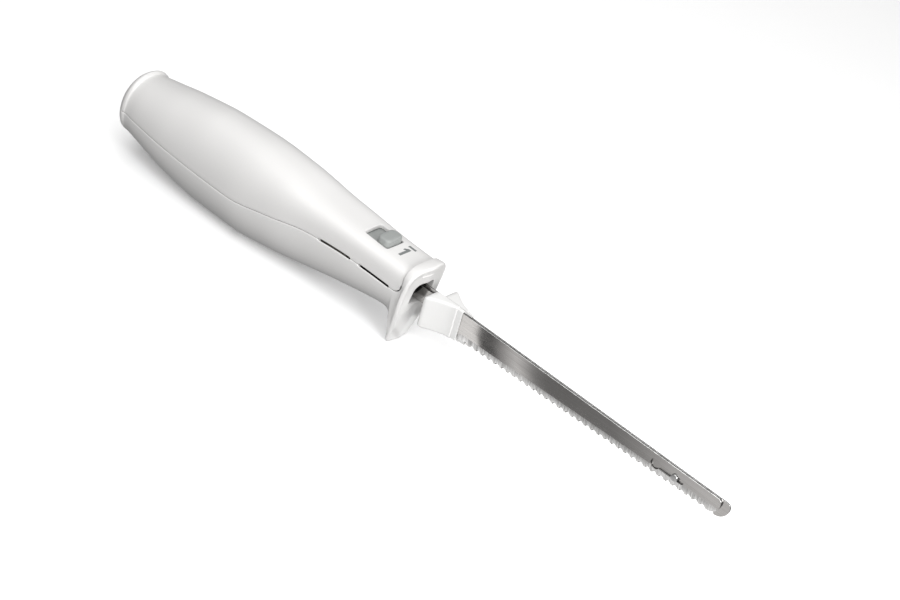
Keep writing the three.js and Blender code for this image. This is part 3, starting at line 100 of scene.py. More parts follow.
# Guard: half width at each height
GUARD_OUTLINE = (
    (-32.5, 9.1),
    (-25.9, 10.6),
    (-19.96, 12.0),
    (-16, 13.3),
    (-13, 14.2),
    (-8, 15.4),
    (-2, 16.4),
    (4, 16.9),
    (12, 16.9),
    (17.4, 16.0),
    (21.4, 13.6),
    (23.5, 10.4),
)
GUARD_TOP = ((7.5, 24.2), (4.0, 24.5), (0.0, 24.6))
GUARD_BACK = -4.8
GUARD_FRONT = 0.3
GUARD_RAKE = 0.14
GUARD_BOW = 0.15
GUARD_CREASE = 0.8  # softness of the fold in the middle of the front
SWEEP_TOP = -8.0  # below this height the front lies back further
LEG_SWEEP = 0.13
GUARD_RIMS = ((-32.5, 0.7), (-28, 1.0), (-20, 1.5), (24.6, 1.6))  # rounding at each height
FACE_DROP = 0.5  # the face lies behind the rim
FACE_EDGE = ((2.0, 1.0), (1.2, 0.75), (0.5, 0.2))  # distance from the rim, share of the drop
FACE_STEPS = 5
BACK_ROUND = 0.45
BACK_INSET = 1.4  # the shield flares out from the cover to its rim
BACK_SHARES = (0.35, 0.7, 1.0)  # from the back's edge to the hole
FLARE_LOW = 10  # the flare gets less above this height
FLARE_RISE = 9
FLARE_LOSS = 0.8
LEG_BACK = 4.4  # the leg's back lies behind the shield's
LEG_TOP = 4  # the shield turns into the leg below this height
LEG_JOIN = 8
LEG_TAPER = 0.14
LEG_LEAN = 0.075
GUARD_FOOT_ROUND = 1.2
GUARD_POINTS = 176
GUARD_STEP = 0.5
COVER_CORNER = 6.0
HOLE_HALF = 8.5
HOLE_BOTTOM = -1.0
HOLE_TOP = 13.0
HOLE_ARCH = 5.0
HOLE_CORNER = 0.8
HOLE_ROUND = 0.7

VENTS = ((-67.9, -43.5), (-37.5, -13.3))
VENT_HALF = 0.75
VENT_SLOPE = 3.0
VENT_ENDS = (0.0, 0.06, 0.2, 0.42, VENT_HALF)  # close sections round a vent's end

# Switch
SLOT_REAR = -45.05
SLOT_FRONT = -26.6
SLOT_HALF = 7.5
SLOT_CORNER = 1.6
SLOT_ROUND = 0.5
SLOT_MOUTH = (1.5, -1.0)  # start and end of the slot's cutter, in roundings: outward, down
SLOT_END = (0, 9)
RUN = 0.35
BUTTON_LENGTH = 9.4
BUTTON_CORNER = 3.2
BUTTON_ROUND = 1.0
SWITCH_TRAVEL = 8.0
SLIDER_OVERLAP = 1.3
SLOT_WALL = 1.1  # the cover over the slider's plate
POCKET_DEPTH = 6

# Blades and hubs, at the middle of the stroke
HALF_STROKE = 2.75
BLADE_INNER = 0.15
BLADE_OUTER = 1.15
TANG_REAR = -44.0
TANG_BOTTOM = -0.5
TANG_STEP = 4
TANG_TOPS = {1: 11.4, -1: 9.5}
SHOULDER_X = 19.0
SHOULDER_FRONT = 22.0
SPINE_AT_HUB = 10.8
SPINE_AT_TIP = 9.8
EDGE_AT_HUB = -7.0
EDGE_AT_TIP = -1.8
ROOT_BOTTOM = -5.5
ROOT_SPLIT = 28
HEEL_X = 34.0
HEEL_LENGTH = 1
FIRST_TOOTH = 38.0
LAST_TOOTH = 214.5
TEETH = 37
TOOTH_STEPS = 10
SCALLOP_DEPTH = 1.8
TIP_X = 222.6
TIP_ROUND = 8.0
TIP_CORNER = 2.8
TIP_BLUNT = 0.02
TIP_STEPS = 20
GRIND_HEIGHT = 5.0
GRIND_EDGE = 0.12
GRIND_LEAST = 0.02
SPINE_ROUND = 0.17
EDGE_TILT = 0.3  # a sheared face turns less than this to the side
BEVEL_TURN = 0.5  # a face that turns up more than this is the spine's bevel
SPINE_TURN = 0.9  # and more than this, the spine
KEYHOLE_REAR = 174.8
KEYHOLE_FRONT = 197.8
KEYHOLE_Z = 3.8
KEYHOLE_ROUND = 3.2
KEYHOLE_HALF = 1.6
KEYHOLE_PAST = 1.0  # its cutter stands out this far
KEYHOLE_NEAR = 0.1
KEYHOLE_STEPS = 32
STUD_X = 186.3
HUB_REAR = 11.4
HUB_FRONT = 29.8
HUB_REAR_HALF = 12.8
HUB_FRONT_HALF = 2.6
HUB_BOTTOM = -8.8
HUB_TOP = 12.6
HUB_ROUND = 1.5
HUB_REAR_ROUND = 3.4
HUB_REAR_DROP = 0.6  # share of that rounding above and below
HUB_CURVE = 1.5
HUB_STEP = 0.8
HUB_CORNER_STEPS = 8
HUB_CORNER_SHARE = 0.45  # a corner's largest share of the half width
HUB_PAST = 2  # the cut for the blade runs this far past the ends
HUB_INNER_PAST = 1.0
COLLAR_FRONT = 33.6
COLLAR_HALF = 1.9
COLLAR_STEP = 0.5
COLLAR_CORNER = 0.6
COLLAR_START = 0.01  # in front of the hub
COLLAR_EDGE = ((0.3, 0.0), (0.09, 0.09), (0.0, 0.3))  # behind its front, drawn in

HOUSING_SCREWS = ((-221.0, 0.0), (-132.9, -12.0), (-132.9, 12.0))
SCREW_RECESS = 2.85
BOSS_RADIUS = 3.8
BORE = 1.7
RECESS_MOUTH = 3.2
RECESS_DEPTH = 6
RECESS_PAST = 5
SCREW_GRIP = 5.0

FLAT_ANGLE = math.radians(38)
MERGE = 0.002  # points this close are one
TINY = 1e-9  # keeps a length from being nothing
PARALLEL = 1e-12  # two ways that turn less than this don't cross
LEAST_TURN = 1e-6
ROUND_STEPS = 48
ARC_STEPS = 12
CORNER_STEPS = 4
SIDES = {1: "left", -1: "right"}
# A small rounding from its start to its end: share outward, share down
ROUNDING = ((1, 0), (0.62, 0.08), (0.29, 0.29), (0.08, 0.62), (0, 1))
WITH_LIPS = AROUND + 2 * (len(ROUNDING) - 1)  # points across a shell's outside

# The frame tells where the origin lies
housing_low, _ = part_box("lower_housing")
SHIFT_X = housing_low.x / MM - HANDLE_REAR
SHIFT_Z = housing_low.z / MM - FLOOR_LEVEL


def place(x, y, z):
    return Vector(((x + SHIFT_X) * MM, y * MM, (z + SHIFT_Z) * MM))


# Curves


def between(rows, key):
    """Smooth values at a key, from rows of a key and its values, without overshoot."""
    last = len(rows) - 1
    if key <= rows[0][0]:
        return rows[0][1:]
    if key >= rows[last][0]:
        return rows[last][1:]
    i = next(k for k in range(last) if key < rows[k + 1][0])
    span = rows[i + 1][0] - rows[i][0]
    t = (key - rows[i][0]) / span

    def slope(k, c):
        return (rows[k + 1][c] - rows[k][c]) / (rows[k + 1][0] - rows[k][0])

    def tangent(k, c):
        if k == 0:
            return slope(0, c)
        if k == last:
            return slope(last - 1, c)
        before, after = slope(k - 1, c), slope(k, c)
        return 0 if before * after <= 0 else 2 * before * after / (before + after)

    values = []
    for c in range(1, len(rows[0])):
        start, end = tangent(i, c) * span, tangent(i + 1, c) * span
        rise = rows[i + 1][c] - rows[i][c]
        curve = (3 * rise - 2 * start - end) * t * t + (start + end - 2 * rise) * t**3
        values.append(rows[i][c] + start * t + curve)
    return tuple(values)


def resample(points, count):
    """Points at equal distances along a line."""
    along = [0.0]
    for a, b in zip(points, points[1:]):
        along.append(along[-1] + math.dist(a, b))
    result = []
    k = 0
    for n in range(count):
        want = along[-1] * n / (count - 1)
        while k < len(points) - 2 and along[k + 1] < want:
            k += 1
        t = (want - along[k]) / max(along[k + 1] - along[k], TINY)
        result.append(tuple(p + (q - p) * t for p, q in zip(points[k], points[k + 1])))
    return result


def stations(start, end, step):
    count = max(1, math.ceil((end - start) / step))
    return [start + (end - start) * n / count for n in range(count + 1)]


def quarter(steps):
    """Shares of a rounding, from its start to its end: how far in, how far along."""
    angles = [math.pi / 2 * n / steps for n in range(steps + 1)]
    return [(1 - math.sin(a), 1 - math.cos(a)) for a in angles]


def rounded_rectangle(u0, u1, v0, v1, corner, steps=8):
    """Points (u, v) round a rectangle, anticlockwise."""
    points = []
    for u, v, start in (
        (u1 - corner, v0 + corner, -0.5),
        (u1 - corner, v1 - corner, 0.0),
        (u0 + corner, v1 - corner, 0.5),
        (u0 + corner, v0 + corner, 1.0),
    ):
        for n in range(steps + 1):
            angle = math.pi * (start + 0.5 * n / steps)
            points.append((u + corner * math.cos(angle), v + corner * math.sin(angle)))
    return points


def outward(points):
    """Outward normals of a closed anticlockwise outline."""
    normals = []
    for n in range(len(points)):
        before, after = points[n - 1], points[(n + 1) % len(points)]
        du, dv = after[0] - before[0], after[1] - before[1]
        length = max(math.hypot(du, dv), TINY)
        normals.append((dv / length, -du / length))
    return normals


# Meshes


def grid_faces(rows, count, closed):
    faces = []
    for i in range(rows - 1):
        for k in range(count if closed else count - 1):
            a, b = i * count + k, i * count + (k + 1) % count
            faces.append((a, b, b + count, a + count))
    return faces


def loft(rings):
    """A solid through closed rings, with flat ends."""
    count = len(rings[0])
    faces = grid_faces(len(rings), count, True)
    faces.append(tuple(reversed(range(count))))
    faces.append(tuple((len(rings) - 1) * count + k for k in range(count)))
    return [p for ring in rings for p in ring], faces


def shell(outer, inner):
    """A wall between two sheets of the same layout."""
    rows, count = len(outer), len(outer[0])
    base = rows * count
    faces = grid_faces(rows, count, False)
    faces += [tuple(base + v for v in reversed(face)) for face in faces]
    border = list(range(count))
    border += [i * count + count - 1 for i in range(1, rows)]
    border += [(rows - 1) * count + k for k in range(count - 2, -1, -1)]
    border += [i * count for i in range(rows - 2, 0, -1)]
    for a, b in zip(border, border[1:] + border[:1]):
        faces.append((b, a, base + a, base + b))
    return [p for ring in [*outer, *inner] for p in ring], faces


def inner_faces(outer):
    """The faces on the inside of a shell."""
    count = (len(outer) - 1) * (len(outer[0]) - 1)
    return range(count, 2 * count)


def turned(profile, axis, centre, steps=ROUND_STEPS):
    """A solid turned from a closed profile of (radius, along) about an axis through a place."""
    rings = []
    for n in range(steps):
        angle = 2 * math.pi * n / steps
        c, s = math.cos(angle), math.sin(angle)
        ring = []
        for radius, along in profile:
            local = {"x": (along, radius * c, radius * s), "y": (radius * s, along, radius * c)}
            local["z"] = (radius * c, radius * s, along)
            ring.append(tuple(a + b for a, b in zip(centre, local[axis])))
        rings.append(ring)
    count = len(profile)
    faces = []
    for i in range(steps):
        for k in range(count):
            a, b = i * count + k, i * count + (k + 1) % count
            c, d = (i + 1) % steps * count + (k + 1) % count, (i + 1) % steps * count + k
            faces.append((a, b, c, d))
    return [p for ring in rings for p in ring], faces


def slab(x0, x1, y0, y1, z0, z1):
    return loft([[(x, y0, z0), (x, y1, z0), (x, y1, z1), (x, y0, z1)] for x in (x0, x1)])


def settle(mesh):
    """Closes up a mesh and turns its faces outward."""
    form = bmesh.new()
    form.from_mesh(mesh)
    bmesh.ops.remove_doubles(form, verts=form.verts, dist=MERGE * MM)
    bmesh.ops.dissolve_degenerate(form, edges=form.edges, dist=MERGE / 2 * MM)
    loose = [edge for edge in form.edges if not edge.link_faces]
    bmesh.ops.delete(form, geom=loose, context="EDGES")
    cracks = [edge for edge in form.edges if edge.is_boundary]
    bmesh.ops.holes_fill(form, edges=cracks, sides=0)
    bmesh.ops.recalc_face_normals(form, faces=form.faces)
    if form.calc_volume(signed=True) < 0:
        bmesh.ops.reverse_faces(form, faces=form.faces)
    form.to_mesh(mesh)
    form.free()


def make(name, solid, finishes=(), second=()):
    """An object from points and faces, turned outward. Faces in second take the second finish."""
    points, faces = solid
    mesh = bpy.data.meshes.new(name)
    mesh.from_pydata([place(*p) for p in points], [], faces)
    for material in finishes:
        mesh.materials.append(material)
    for index in second:
        mesh.polygons[index].material_index = 1
    settle(mesh)
    obj = bpy.data.objects.new(name, mesh)
    bpy.context.scene.collection.objects.link(obj)
    return obj


def combine(obj, operation, *tools):
    """Joins tools to an object or cuts them from it. The tools are used up."""
    for tool in tools:
        step = obj.modifiers.new("step", "BOOLEAN")
        step.operation = operation
        step.solver = "EXACT"
        step.object = tool
        settled = bpy.context.evaluated_depsgraph_get()
        mesh = bpy.data.meshes.new_from_object(obj.evaluated_get(settled))
        obj.modifiers.clear()
        settle(mesh)
        old = obj.data
        obj.data = mesh
        bpy.data.meshes.remove(old)
        old = tool.data
        bpy.data.objects.remove(tool)
        bpy.data.meshes.remove(old)


def join(obj, *solids):
    combine(obj, "UNION", *[make("tool", solid) for solid in solids])


def cut(obj, *solids):
    combine(obj, "DIFFERENCE", *[make("tool", solid) for solid in solids])


def complete(obj, material, body, slot, *nodes):
    """Finish and body of a piece, and the CAD nodes that it stands for. The slot is not used."""
    obj.data.name = obj.name
    if not obj.data.materials:
        obj.data.materials.append(material)
    obj.data.shade_smooth()
    obj.data.set_sharp_from_angle(angle=FLAT_ANGLE)
    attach(obj, body)
    if nodes:
        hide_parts(*nodes)


# Finishes

NOISE_LOW = 0.3  # noise mostly stays between these
NOISE_HIGH = 0.7
BUMP_HEIGHT = 0.1


def make_group(name, inputs, outputs):
    tree = bpy.data.node_groups.new(name, "ShaderNodeTree")
    for label, kind, value in inputs:
        socket = tree.interface.new_socket(label, in_out="INPUT", socket_type=f"NodeSocket{kind}")
        socket.default_value = value
    for label, kind in outputs:
        tree.interface.new_socket(label, in_out="OUTPUT", socket_type=f"NodeSocket{kind}")
    return tree, tree.nodes.new("NodeGroupInput"), tree.nodes.new("NodeGroupOutput")


def add_noise(tree, vector, scale, detail):
    noise = tree.nodes.new("ShaderNodeTexNoise")
    noise.inputs["Detail"].default_value = detail
    tree.links.new(vector, noise.inputs["Vector"])
    if isinstance(scale, float):
        noise.inputs["Scale"].default_value = scale
    else:
        tree.links.new(scale, noise.inputs["Scale"])
    return noise.outputs["Fac"]


def add_range(tree, value, low, high):
    """A value from 0 to 1 spread from low to high."""
    node = tree.nodes.new("ShaderNodeMapRange")
    node.inputs["To Min"].default_value = low
    node.inputs["To Max"].default_value = high
    node.inputs["From Min"].default_value = NOISE_LOW
    node.inputs["From Max"].default_value = NOISE_HIGH
    tree.links.new(value, node.inputs["Value"])
    return node.outputs["Result"]


def add_math(tree, operation, first, second):
    node = tree.nodes.new("ShaderNodeMath")
    node.operation = operation
    for socket, value in zip(node.inputs, (first, second)):
        if isinstance(value, float):
            socket.default_value = value
        else:
            tree.links.new(value, socket)
    return node.outputs["Value"]


def add_mix(tree, share, first, second):
    node = tree.nodes.new("ShaderNodeMix")
    node.data_type = "RGBA"
    tree.links.new(share, node.inputs["Factor"])
    tree.links.new(first, node.inputs["A"])
    tree.links.new(second, node.inputs["B"])
    return node.outputs["Result"]


def add_bump(tree, height, depth):
    node = tree.nodes.new("ShaderNodeBump")
    node.inputs["Distance"].default_value = BUMP_HEIGHT * MM
    tree.links.new(depth, node.inputs["Strength"])
    tree.links.new(height, node.inputs["Height"])
    return node.outputs["Normal"]


GREY = (0.5, 0.5, 0.5, 1)
FINISH_INPUTS = (
    ("Colour", "Color", GREY),
    ("Second colour", "Color", GREY),
    ("Roughness", "Float", 0.4),
    ("Depth", "Float", 0.1),
)
FINISH_OUTPUTS = (("Colour", "Color"), ("Roughness", "Float"), ("Normal", "Vector"))


def end_group(tree, end, *results):
    for (label, _), result in zip(FINISH_OUTPUTS, results):
        tree.links.new(result, end.inputs[label])
    return tree


def moulded_group():
    """Moulded plastic: faint clouds of tone, a fine grain and small changes of gloss."""
    inputs = (*FINISH_INPUTS, ("Grain", "Float", 3000.0))
    tree, start, end = make_group("Moulded surface", inputs, FINISH_OUTPUTS)
    place_on = tree.nodes.new("ShaderNodeTexCoord").outputs["Object"]
    clouds = add_noise(tree, place_on, scale=22.0, detail=3.0)
    gloss = add_noise(tree, place_on, scale=260.0, detail=4.0)
    grain = add_noise(tree, place_on, start.outputs["Grain"], detail=2.0)
    colour = add_mix(
        tree, add_range(tree, clouds, 0, 1), start.outputs["Colour"], start.outputs["Second colour"]
    )
    rough = add_math(tree, "ADD", start.outputs["Roughness"], add_range(tree, gloss, -0.012, 0.012))
    return end_group(tree, end, colour, rough, add_bump(tree, grain, start.outputs["Depth"]))


def drawn_group():
    """Ground or drawn metal: fine lines along one way."""
    inputs = (*FINISH_INPUTS, ("Stretch", "Vector", (100, 1000, 1000)))
    tree, start, end = make_group("Drawn lines", inputs, FINISH_OUTPUTS)
    place_on = tree.nodes.new("ShaderNodeTexCoord").outputs["Object"]
    stretch = tree.nodes.new("ShaderNodeMapping")
    tree.links.new(place_on, stretch.inputs["Vector"])
    tree.links.new(start.outputs["Stretch"], stretch.inputs["Scale"])
    lines = add_noise(tree, stretch.outputs["Vector"], scale=1.0, detail=5.0)
    clouds = add_noise(tree, place_on, scale=60.0, detail=3.0)
    share = add_math(tree, "MULTIPLY", add_range(tree, lines, 0, 1), add_range(tree, clouds, 0.5, 1))
    colour = add_mix(tree, share, start.outputs["Colour"], start.outputs["Second colour"])
    rough = add_math(tree, "ADD", start.outputs["Roughness"], add_range(tree, lines, -0.03, 0.06))
    return end_group(tree, end, colour, rough, add_bump(tree, lines, start.outputs["Depth"]))


def banded_group():
    """Stacked sheets, wound wire or bars: even bands across one way."""
    inputs = (*FINISH_INPUTS, ("Across", "Vector", (1000, 0, 0)))
    tree, start, end = make_group("Even bands", inputs, FINISH_OUTPUTS)
    place_on = tree.nodes.new("ShaderNodeTexCoord").outputs["Object"]
    along = tree.nodes.new("ShaderNodeVectorMath")
    along.operation = "DOT_PRODUCT"
    tree.links.new(place_on, along.inputs[0])
    tree.links.new(start.outputs["Across"], along.inputs[1])
    wave = add_math(tree, "SINE", along.outputs["Value"], 0.0)
    clouds = add_noise(tree, place_on, scale=300.0, detail=3.0)
    bands = add_math(tree, "MULTIPLY_ADD", wave, 0.4)
    share = add_math(tree, "MULTIPLY", add_range(tree, bands, 0, 1), add_range(tree, clouds, 0.6, 1))
    colour = add_mix(tree, share, start.outputs["Colour"], start.outputs["Second colour"])
    rough = add_math(tree, "ADD", start.outputs["Roughness"], add_range(tree, clouds, -0.05, 0.05))
    return end_group(tree, end, colour, rough, add_bump(tree, wave, start.outputs["Depth"]))


MOULDED = moulded_group()
DRAWN = drawn_group()
BANDED = banded_group()


def finish(name, tree, colour, second, roughness, depth, metallic=0.0, coat=0.0, **extra):
    material = bpy.data.materials.new(name)
    material.use_nodes = True
    nodes = material.node_tree.nodes
    shader = nodes["Principled BSDF"]
    group = nodes.new("ShaderNodeGroup")
    group.node_tree = tree
    group.inputs["Colour"].default_value = (*colour, 1)
    group.inputs["Second colour"].default_value = (*second, 1)
    group.inputs["Roughness"].default_value = roughness
    group.inputs["Depth"].default_value = depth
    for label, value in extra.items():
        group.inputs[label].default_value = value
    shader.inputs["Metallic"].default_value = metallic
    shader.inputs["Coat Weight"].default_value = coat
    for label, target in (("Colour", "Base Color"), ("Roughness", "Roughness"), ("Normal", "Normal")):
        material.node_tree.links.new(group.outputs[label], shader.inputs[target])
    return material


HOUSING = finish("housing white", MOULDED, (0.66, 0.653, 0.645), (0.645, 0.638, 0.63), 0.31, 0.03)
# The shells' inner faces are painted near black: painted shade where little light gets inside the
# housing.
INSIDE_PAINTED_SHADE = finish("housing inside painted shade", MOULDED, (0.05, 0.05, 0.05), (0.04, 0.04, 0.04), 0.7, 0.05)
HUB = finish("hub white", MOULDED, (0.655, 0.653, 0.645), (0.64, 0.637, 0.63), 0.4, 0.06)
SWITCH = finish("switch grey", MOULDED, (0.285, 0.297, 0.29), (0.27, 0.282, 0.275), 0.42, 0.12)
MARK = finish("mark grey", MOULDED, (0.17, 0.18, 0.178), (0.15, 0.16, 0.158), 0.5, 0.1)
BLACK = finish("black plastic", MOULDED, (0.02, 0.02, 0.021), (0.03, 0.03, 0.031), 0.45, 0.15)
NYLON = finish("nylon", MOULDED, (0.72, 0.69, 0.6), (0.68, 0.64, 0.54), 0.45, 0.1)
RUBBER = finish(
    "gland rubber", MOULDED, (0.03, 0.03, 0.03), (0.045, 0.045, 0.045), 0.65, 0.3, Grain=1800.0
)
CARBON = finish("brush carbon", MOULDED, (0.03, 0.03, 0.032), (0.05, 0.05, 0.052), 0.6, 0.3)
FACE = finish(
    "blade face", DRAWN, (0.6, 0.59, 0.58), (0.5, 0.49, 0.48), 0.13, 0.05, 1.0, Stretch=(25, 400, 2600)
)
GRIND = finish(
    "blade grind", DRAWN, (0.66, 0.655, 0.65), (0.16, 0.157, 0.154), 0.32, 0.8, 1.0,
    Stretch=(1250, 120, 60),
)
# Dark steel for the keyhole's walls and the spine tops: painted shade in the keyhole's gap, and darker
# sheared steel with painted shade along the spines.
SHEARED_EDGE_AND_SHADE = finish(
    "sheared edge and painted shade", DRAWN, (0.24, 0.237, 0.233), (0.18, 0.177, 0.174), 0.4, 0.1, 1.0,
    Stretch=(1200, 300, 300),
)
STEEL = finish(
    "plain steel", DRAWN, (0.56, 0.56, 0.56), (0.46, 0.46, 0.46), 0.28, 0.1, 1.0,
    Stretch=(2000, 300, 300),
)
BRASS = finish(
    "brass", DRAWN, (0.72, 0.52, 0.22), (0.6, 0.42, 0.17), 0.3, 0.1, 1.0, Stretch=(300, 2000, 300)
)
BRONZE = finish(
    "bronze", DRAWN, (0.55, 0.36, 0.19), (0.46, 0.29, 0.15), 0.38, 0.15, 1.0, Stretch=(2000, 300, 300)
)
IRON = finish(
    "stacked iron", BANDED, (0.3, 0.3, 0.31), (0.16, 0.16, 0.17), 0.45, 0.4, 0.9, Across=(9000, 0, 0)
)
COPPER = finish(
    "wound copper", BANDED, (0.62, 0.25, 0.1), (0.3, 0.1, 0.04), 0.35, 0.6, 0.9, Across=(0, 6000, 9000)
)
BARS = finish(
    "copper bars", BANDED, (0.72, 0.34, 0.16), (0.5, 0.2, 0.09), 0.3, 0.2, 1.0, Across=(6000, 0, 0)
)

CAD_FINISHES = {
    BLACK: ("switch_body", "rear_bridge", "cooling_fan", "left_blade_carrier", "right_blade_carrier"),
    IRON: ("field_core", "armature_core"),
    COPPER: ("field_coil_left", "field_coil_right", "armature_winding_rear", "armature_winding_front"),
    BARS: ("commutator",),
    STEEL: ("armature_shaft", "worm", "gear_axle", "keeper_screw_1", "keeper_screw_2"),
    BRONZE: ("rear_bearing", "front_bearing"),
    BRASS: ("brush_holder_left", "brush_holder_right"),
    CARBON: ("carbon_brush_left", "carbon_brush_right"),
    NYLON: ("drive_gear", "gear_frame", "carrier_keeper"),
}
for material, names in CAD_FINISHES.items():
    for name in names:
        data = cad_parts[name].data
        data.materials.clear()
        data.materials.append(material)


# Handle shells


def section_at(x):
    return Section(*between(HANDLE_SECTIONS, x))


def lower_section_at(x):
    section = section_at(x)
    if x <= LEG_START:
        return section
    bottom, below = between(UNDERSIDE, x)
    return section._replace(bottom=bottom, below=below)


def half_at(section, inset, z):
    """Half width of a section, drawn in by an inset, at a height."""
    rise = z - section.joint
    if rise >= 0:
        share, power = rise / (section.top - inset - section.joint), section.above
    else:
        share, power = -rise / (section.joint - section.bottom - inset), section.below
    return (section.half - inset) * max(0, 1 - share**power) ** (1 / power)


def across(section, inset, start, up, steps=ROUND_STEPS):
    """Dense points (y, z) from the right side of a section to the left, over the top or underneath."""
    power = section.above if up else section.below
    reach = section.top - inset - section.joint if up else section.bottom + inset - section.joint
    diagonal = 0.5 ** (1 / power)
    end = section.joint + diagonal * reach
    heights = [start + (end - start) * n / steps for n in range(steps)]
    side = [(half_at(section, inset, z), z) for z in heights]
    middle = []
    for n in range(2 * steps + 1):
        share = diagonal * (n / steps - 1)
        height = reach * (1 - abs(share) ** power) ** (1 / power)
        middle.append(((section.half - inset) * share, section.joint + height))
    return [(-y, z) for y, z in side] + middle + list(reversed(side))


def outer_ring(x, section, start, up, inset=0.0):
    """Points across a shell's outside, with a rounded lip at each end."""
    turn = 1 if up else -1
    edge = half_at(section, inset, start)
    curve = resample(across(section, inset, start + turn * LIP, up), AROUND)
    lip = [(edge - LIP * out, start + turn * LIP * deep) for out, deep in ROUNDING[:-1]]
    whole = [(-y, z) for y, z in lip] + curve + list(reversed(lip))
    return [(x, y, max(z, FLOOR_LEVEL)) for y, z in whole]


def inner_ring(x, start, up):
    section = section_at(x)
    curve = resample(across(section, WALL, start, up), WITH_LIPS)
    return [(x, y, z) for y, z in curve]


def vent_gap(x):
    """Half height of the gap in the joint line."""
    for rear, front in VENTS:
        depth = min(x - rear, front - x)
        if depth > 0:
            share = 1 - min(1, depth / VENT_HALF)
            return max(SEAM / 2, VENT_HALF * math.sqrt(1 - share * share))
    return SEAM / 2


def vent_slope(x):
    """How far the wall's inside is drawn back at a vent."""
    return VENT_SLOPE * (vent_gap(x) - SEAM / 2) / (VENT_HALF - SEAM / 2)


def corner_rise(x, front):
    """How far the joint line turns up behind the guard."""
    along = min(COVER_CORNER, max(0, x - (front - COVER_CORNER)))
    return COVER_CORNER - math.sqrt(COVER_CORNER**2 - along**2)


SLIDER_REAR = SLOT_REAR - SLIDER_OVERLAP
SLIDER_FRONT = SLOT_FRONT + SWITCH_TRAVEL + SLIDER_OVERLAP
SLIDER_HALF = SLOT_HALF + SLIDER_OVERLAP
COVER_END = GUARD_BACK - SEAM
SHIELD_BACK = GUARD_BACK + SEAM / 2
SHELL_REACH = 2.5  # of the lower shell into the shield
INLET = section_at(HANDLE_REAR).joint
INLET_HOLE = 5.2


def shell_stations(front):
    dome = [HANDLE_REAR + DOME_LENGTH * (n / DOME_STEPS) ** 2 for n in range(DOME_STEPS)]
    corner = front - COVER_CORNER
    length = stations(HANDLE_REAR + DOME_LENGTH, LEG_START, STATION)
    length += stations(*REAR_RIM, LEG_STEP / 2)
    length += stations(LEG_START, corner, LEG_STEP * 2)[1:]
    ends = []
    for rear, end in VENTS:
        for depth in VENT_ENDS:
            ends += [rear + depth, end - depth]
    angles = [math.pi / 2 * n / ARC_STEPS for n in range(1, ARC_STEPS + 1)]
    turn = [corner + COVER_CORNER * math.sin(angle) for angle in angles]
    return sorted({round(x, 3) for x in [*dome, *length, *ends, *turn] if x <= front})


def inlet_ring(x, up):
    """Half of the round hole for the cord's gland."""
    turn = 1 if up else -1
    count = WITH_LIPS
    start = math.asin(SEAM / 2 / INLET_HOLE)
    ring = []
    for n in range(count):
        angle = start + (math.pi - 2 * start) * n / (count - 1)
        ring.append((x, -INLET_HOLE * math.cos(angle), INLET + turn * INLET_HOLE * math.sin(angle)))
    return ring


def inner_place(x, front):
    """Where the inside of a wall meets a place on its outside."""
    share = (x - HANDLE_REAR) / (front - HANDLE_REAR)
    return HANDLE_REAR + REAR_WALL + share * (front - HANDLE_REAR - REAR_WALL)


def cover_start(x):
    return section_at(x).joint + vent_gap(x) + corner_rise(x, COVER_END)


def lower_start(x):
    return section_at(x).joint - vent_gap(x) + corner_rise(x, SHIELD_BACK)


def roof(x, y):
    """Height of the cover at a place on the plan."""
    section = section_at(x)
    share = abs(y) / section.half
    height = (1 - share**section.above) ** (1 / section.above)
    return section.joint + (section.top - section.joint) * height


PLATE_TOP = roof(SLIDER_FRONT, SLIDER_HALF) - SLOT_WALL - RUN


def slider_pocket():
    """The cover is thinner over the slider's plate."""
    rear, front = SLIDER_REAR - SWITCH_TRAVEL - RUN, SLIDER_FRONT + RUN
    half = SLIDER_HALF + RUN
    return slab(rear, front, -half, half, PLATE_TOP - POCKET_DEPTH, PLATE_TOP + RUN)


def slot_cutter():
    outline = rounded_rectangle(SLOT_REAR, SLOT_FRONT, -SLOT_HALF, SLOT_HALF, SLOT_CORNER)
    normals = outward(outline)
    rings = []
    for out, drop in (SLOT_MOUTH, *ROUNDING, SLOT_END):
        ring = []
        for (x, y), (nx, ny) in zip(outline, normals):
            px, py = x + nx * out * SLOT_ROUND, y + ny * out * SLOT_ROUND
            ring.append((px, py, roof(px, py) - drop * SLOT_ROUND))
        rings.append(ring)
    return loft(rings)


def build_cover():
    outer = [inlet_ring(HANDLE_REAR, True)]
    inner = [inlet_ring(HANDLE_REAR + REAR_WALL, True)]
    places = [x for x in shell_stations(COVER_END) if x < COVER_END - LIP]
    for x in places:
        outer.append(outer_ring(x, section_at(x), cover_start(x), True))
        deep = inner_place(x, COVER_END)
        start = max(cover_start(x), section_at(deep).joint + SEAM / 2)
        inner.append(inner_ring(deep, start + vent_slope(x), True))
    for depth, along in quarter(4):
        x = COVER_END - LIP * depth
        outer.append(outer_ring(x, section_at(x), cover_start(COVER_END), True, LIP * along))
        deep = inner_place(x, COVER_END)
        inner.append(inner_ring(deep, cover_start(COVER_END), True))
    # The cover's inner faces take the near-black finish of painted shade.
    cover = make("cover_shell", shell(outer, inner), (HOUSING, INSIDE_PAINTED_SHADE), inner_faces(outer))
    cut(cover, slider_pocket(), slot_cutter())
    complete(cover, HOUSING, "housing", "housing_plastic", "upper_housing")


def guard_front(y, z):
    fold = math.hypot(y, GUARD_CREASE) - GUARD_CREASE
    sweep = LEG_SWEEP * max(0, SWEEP_TOP - z)
    return GUARD_FRONT + GUARD_RAKE * z - GUARD_BOW * fold - sweep


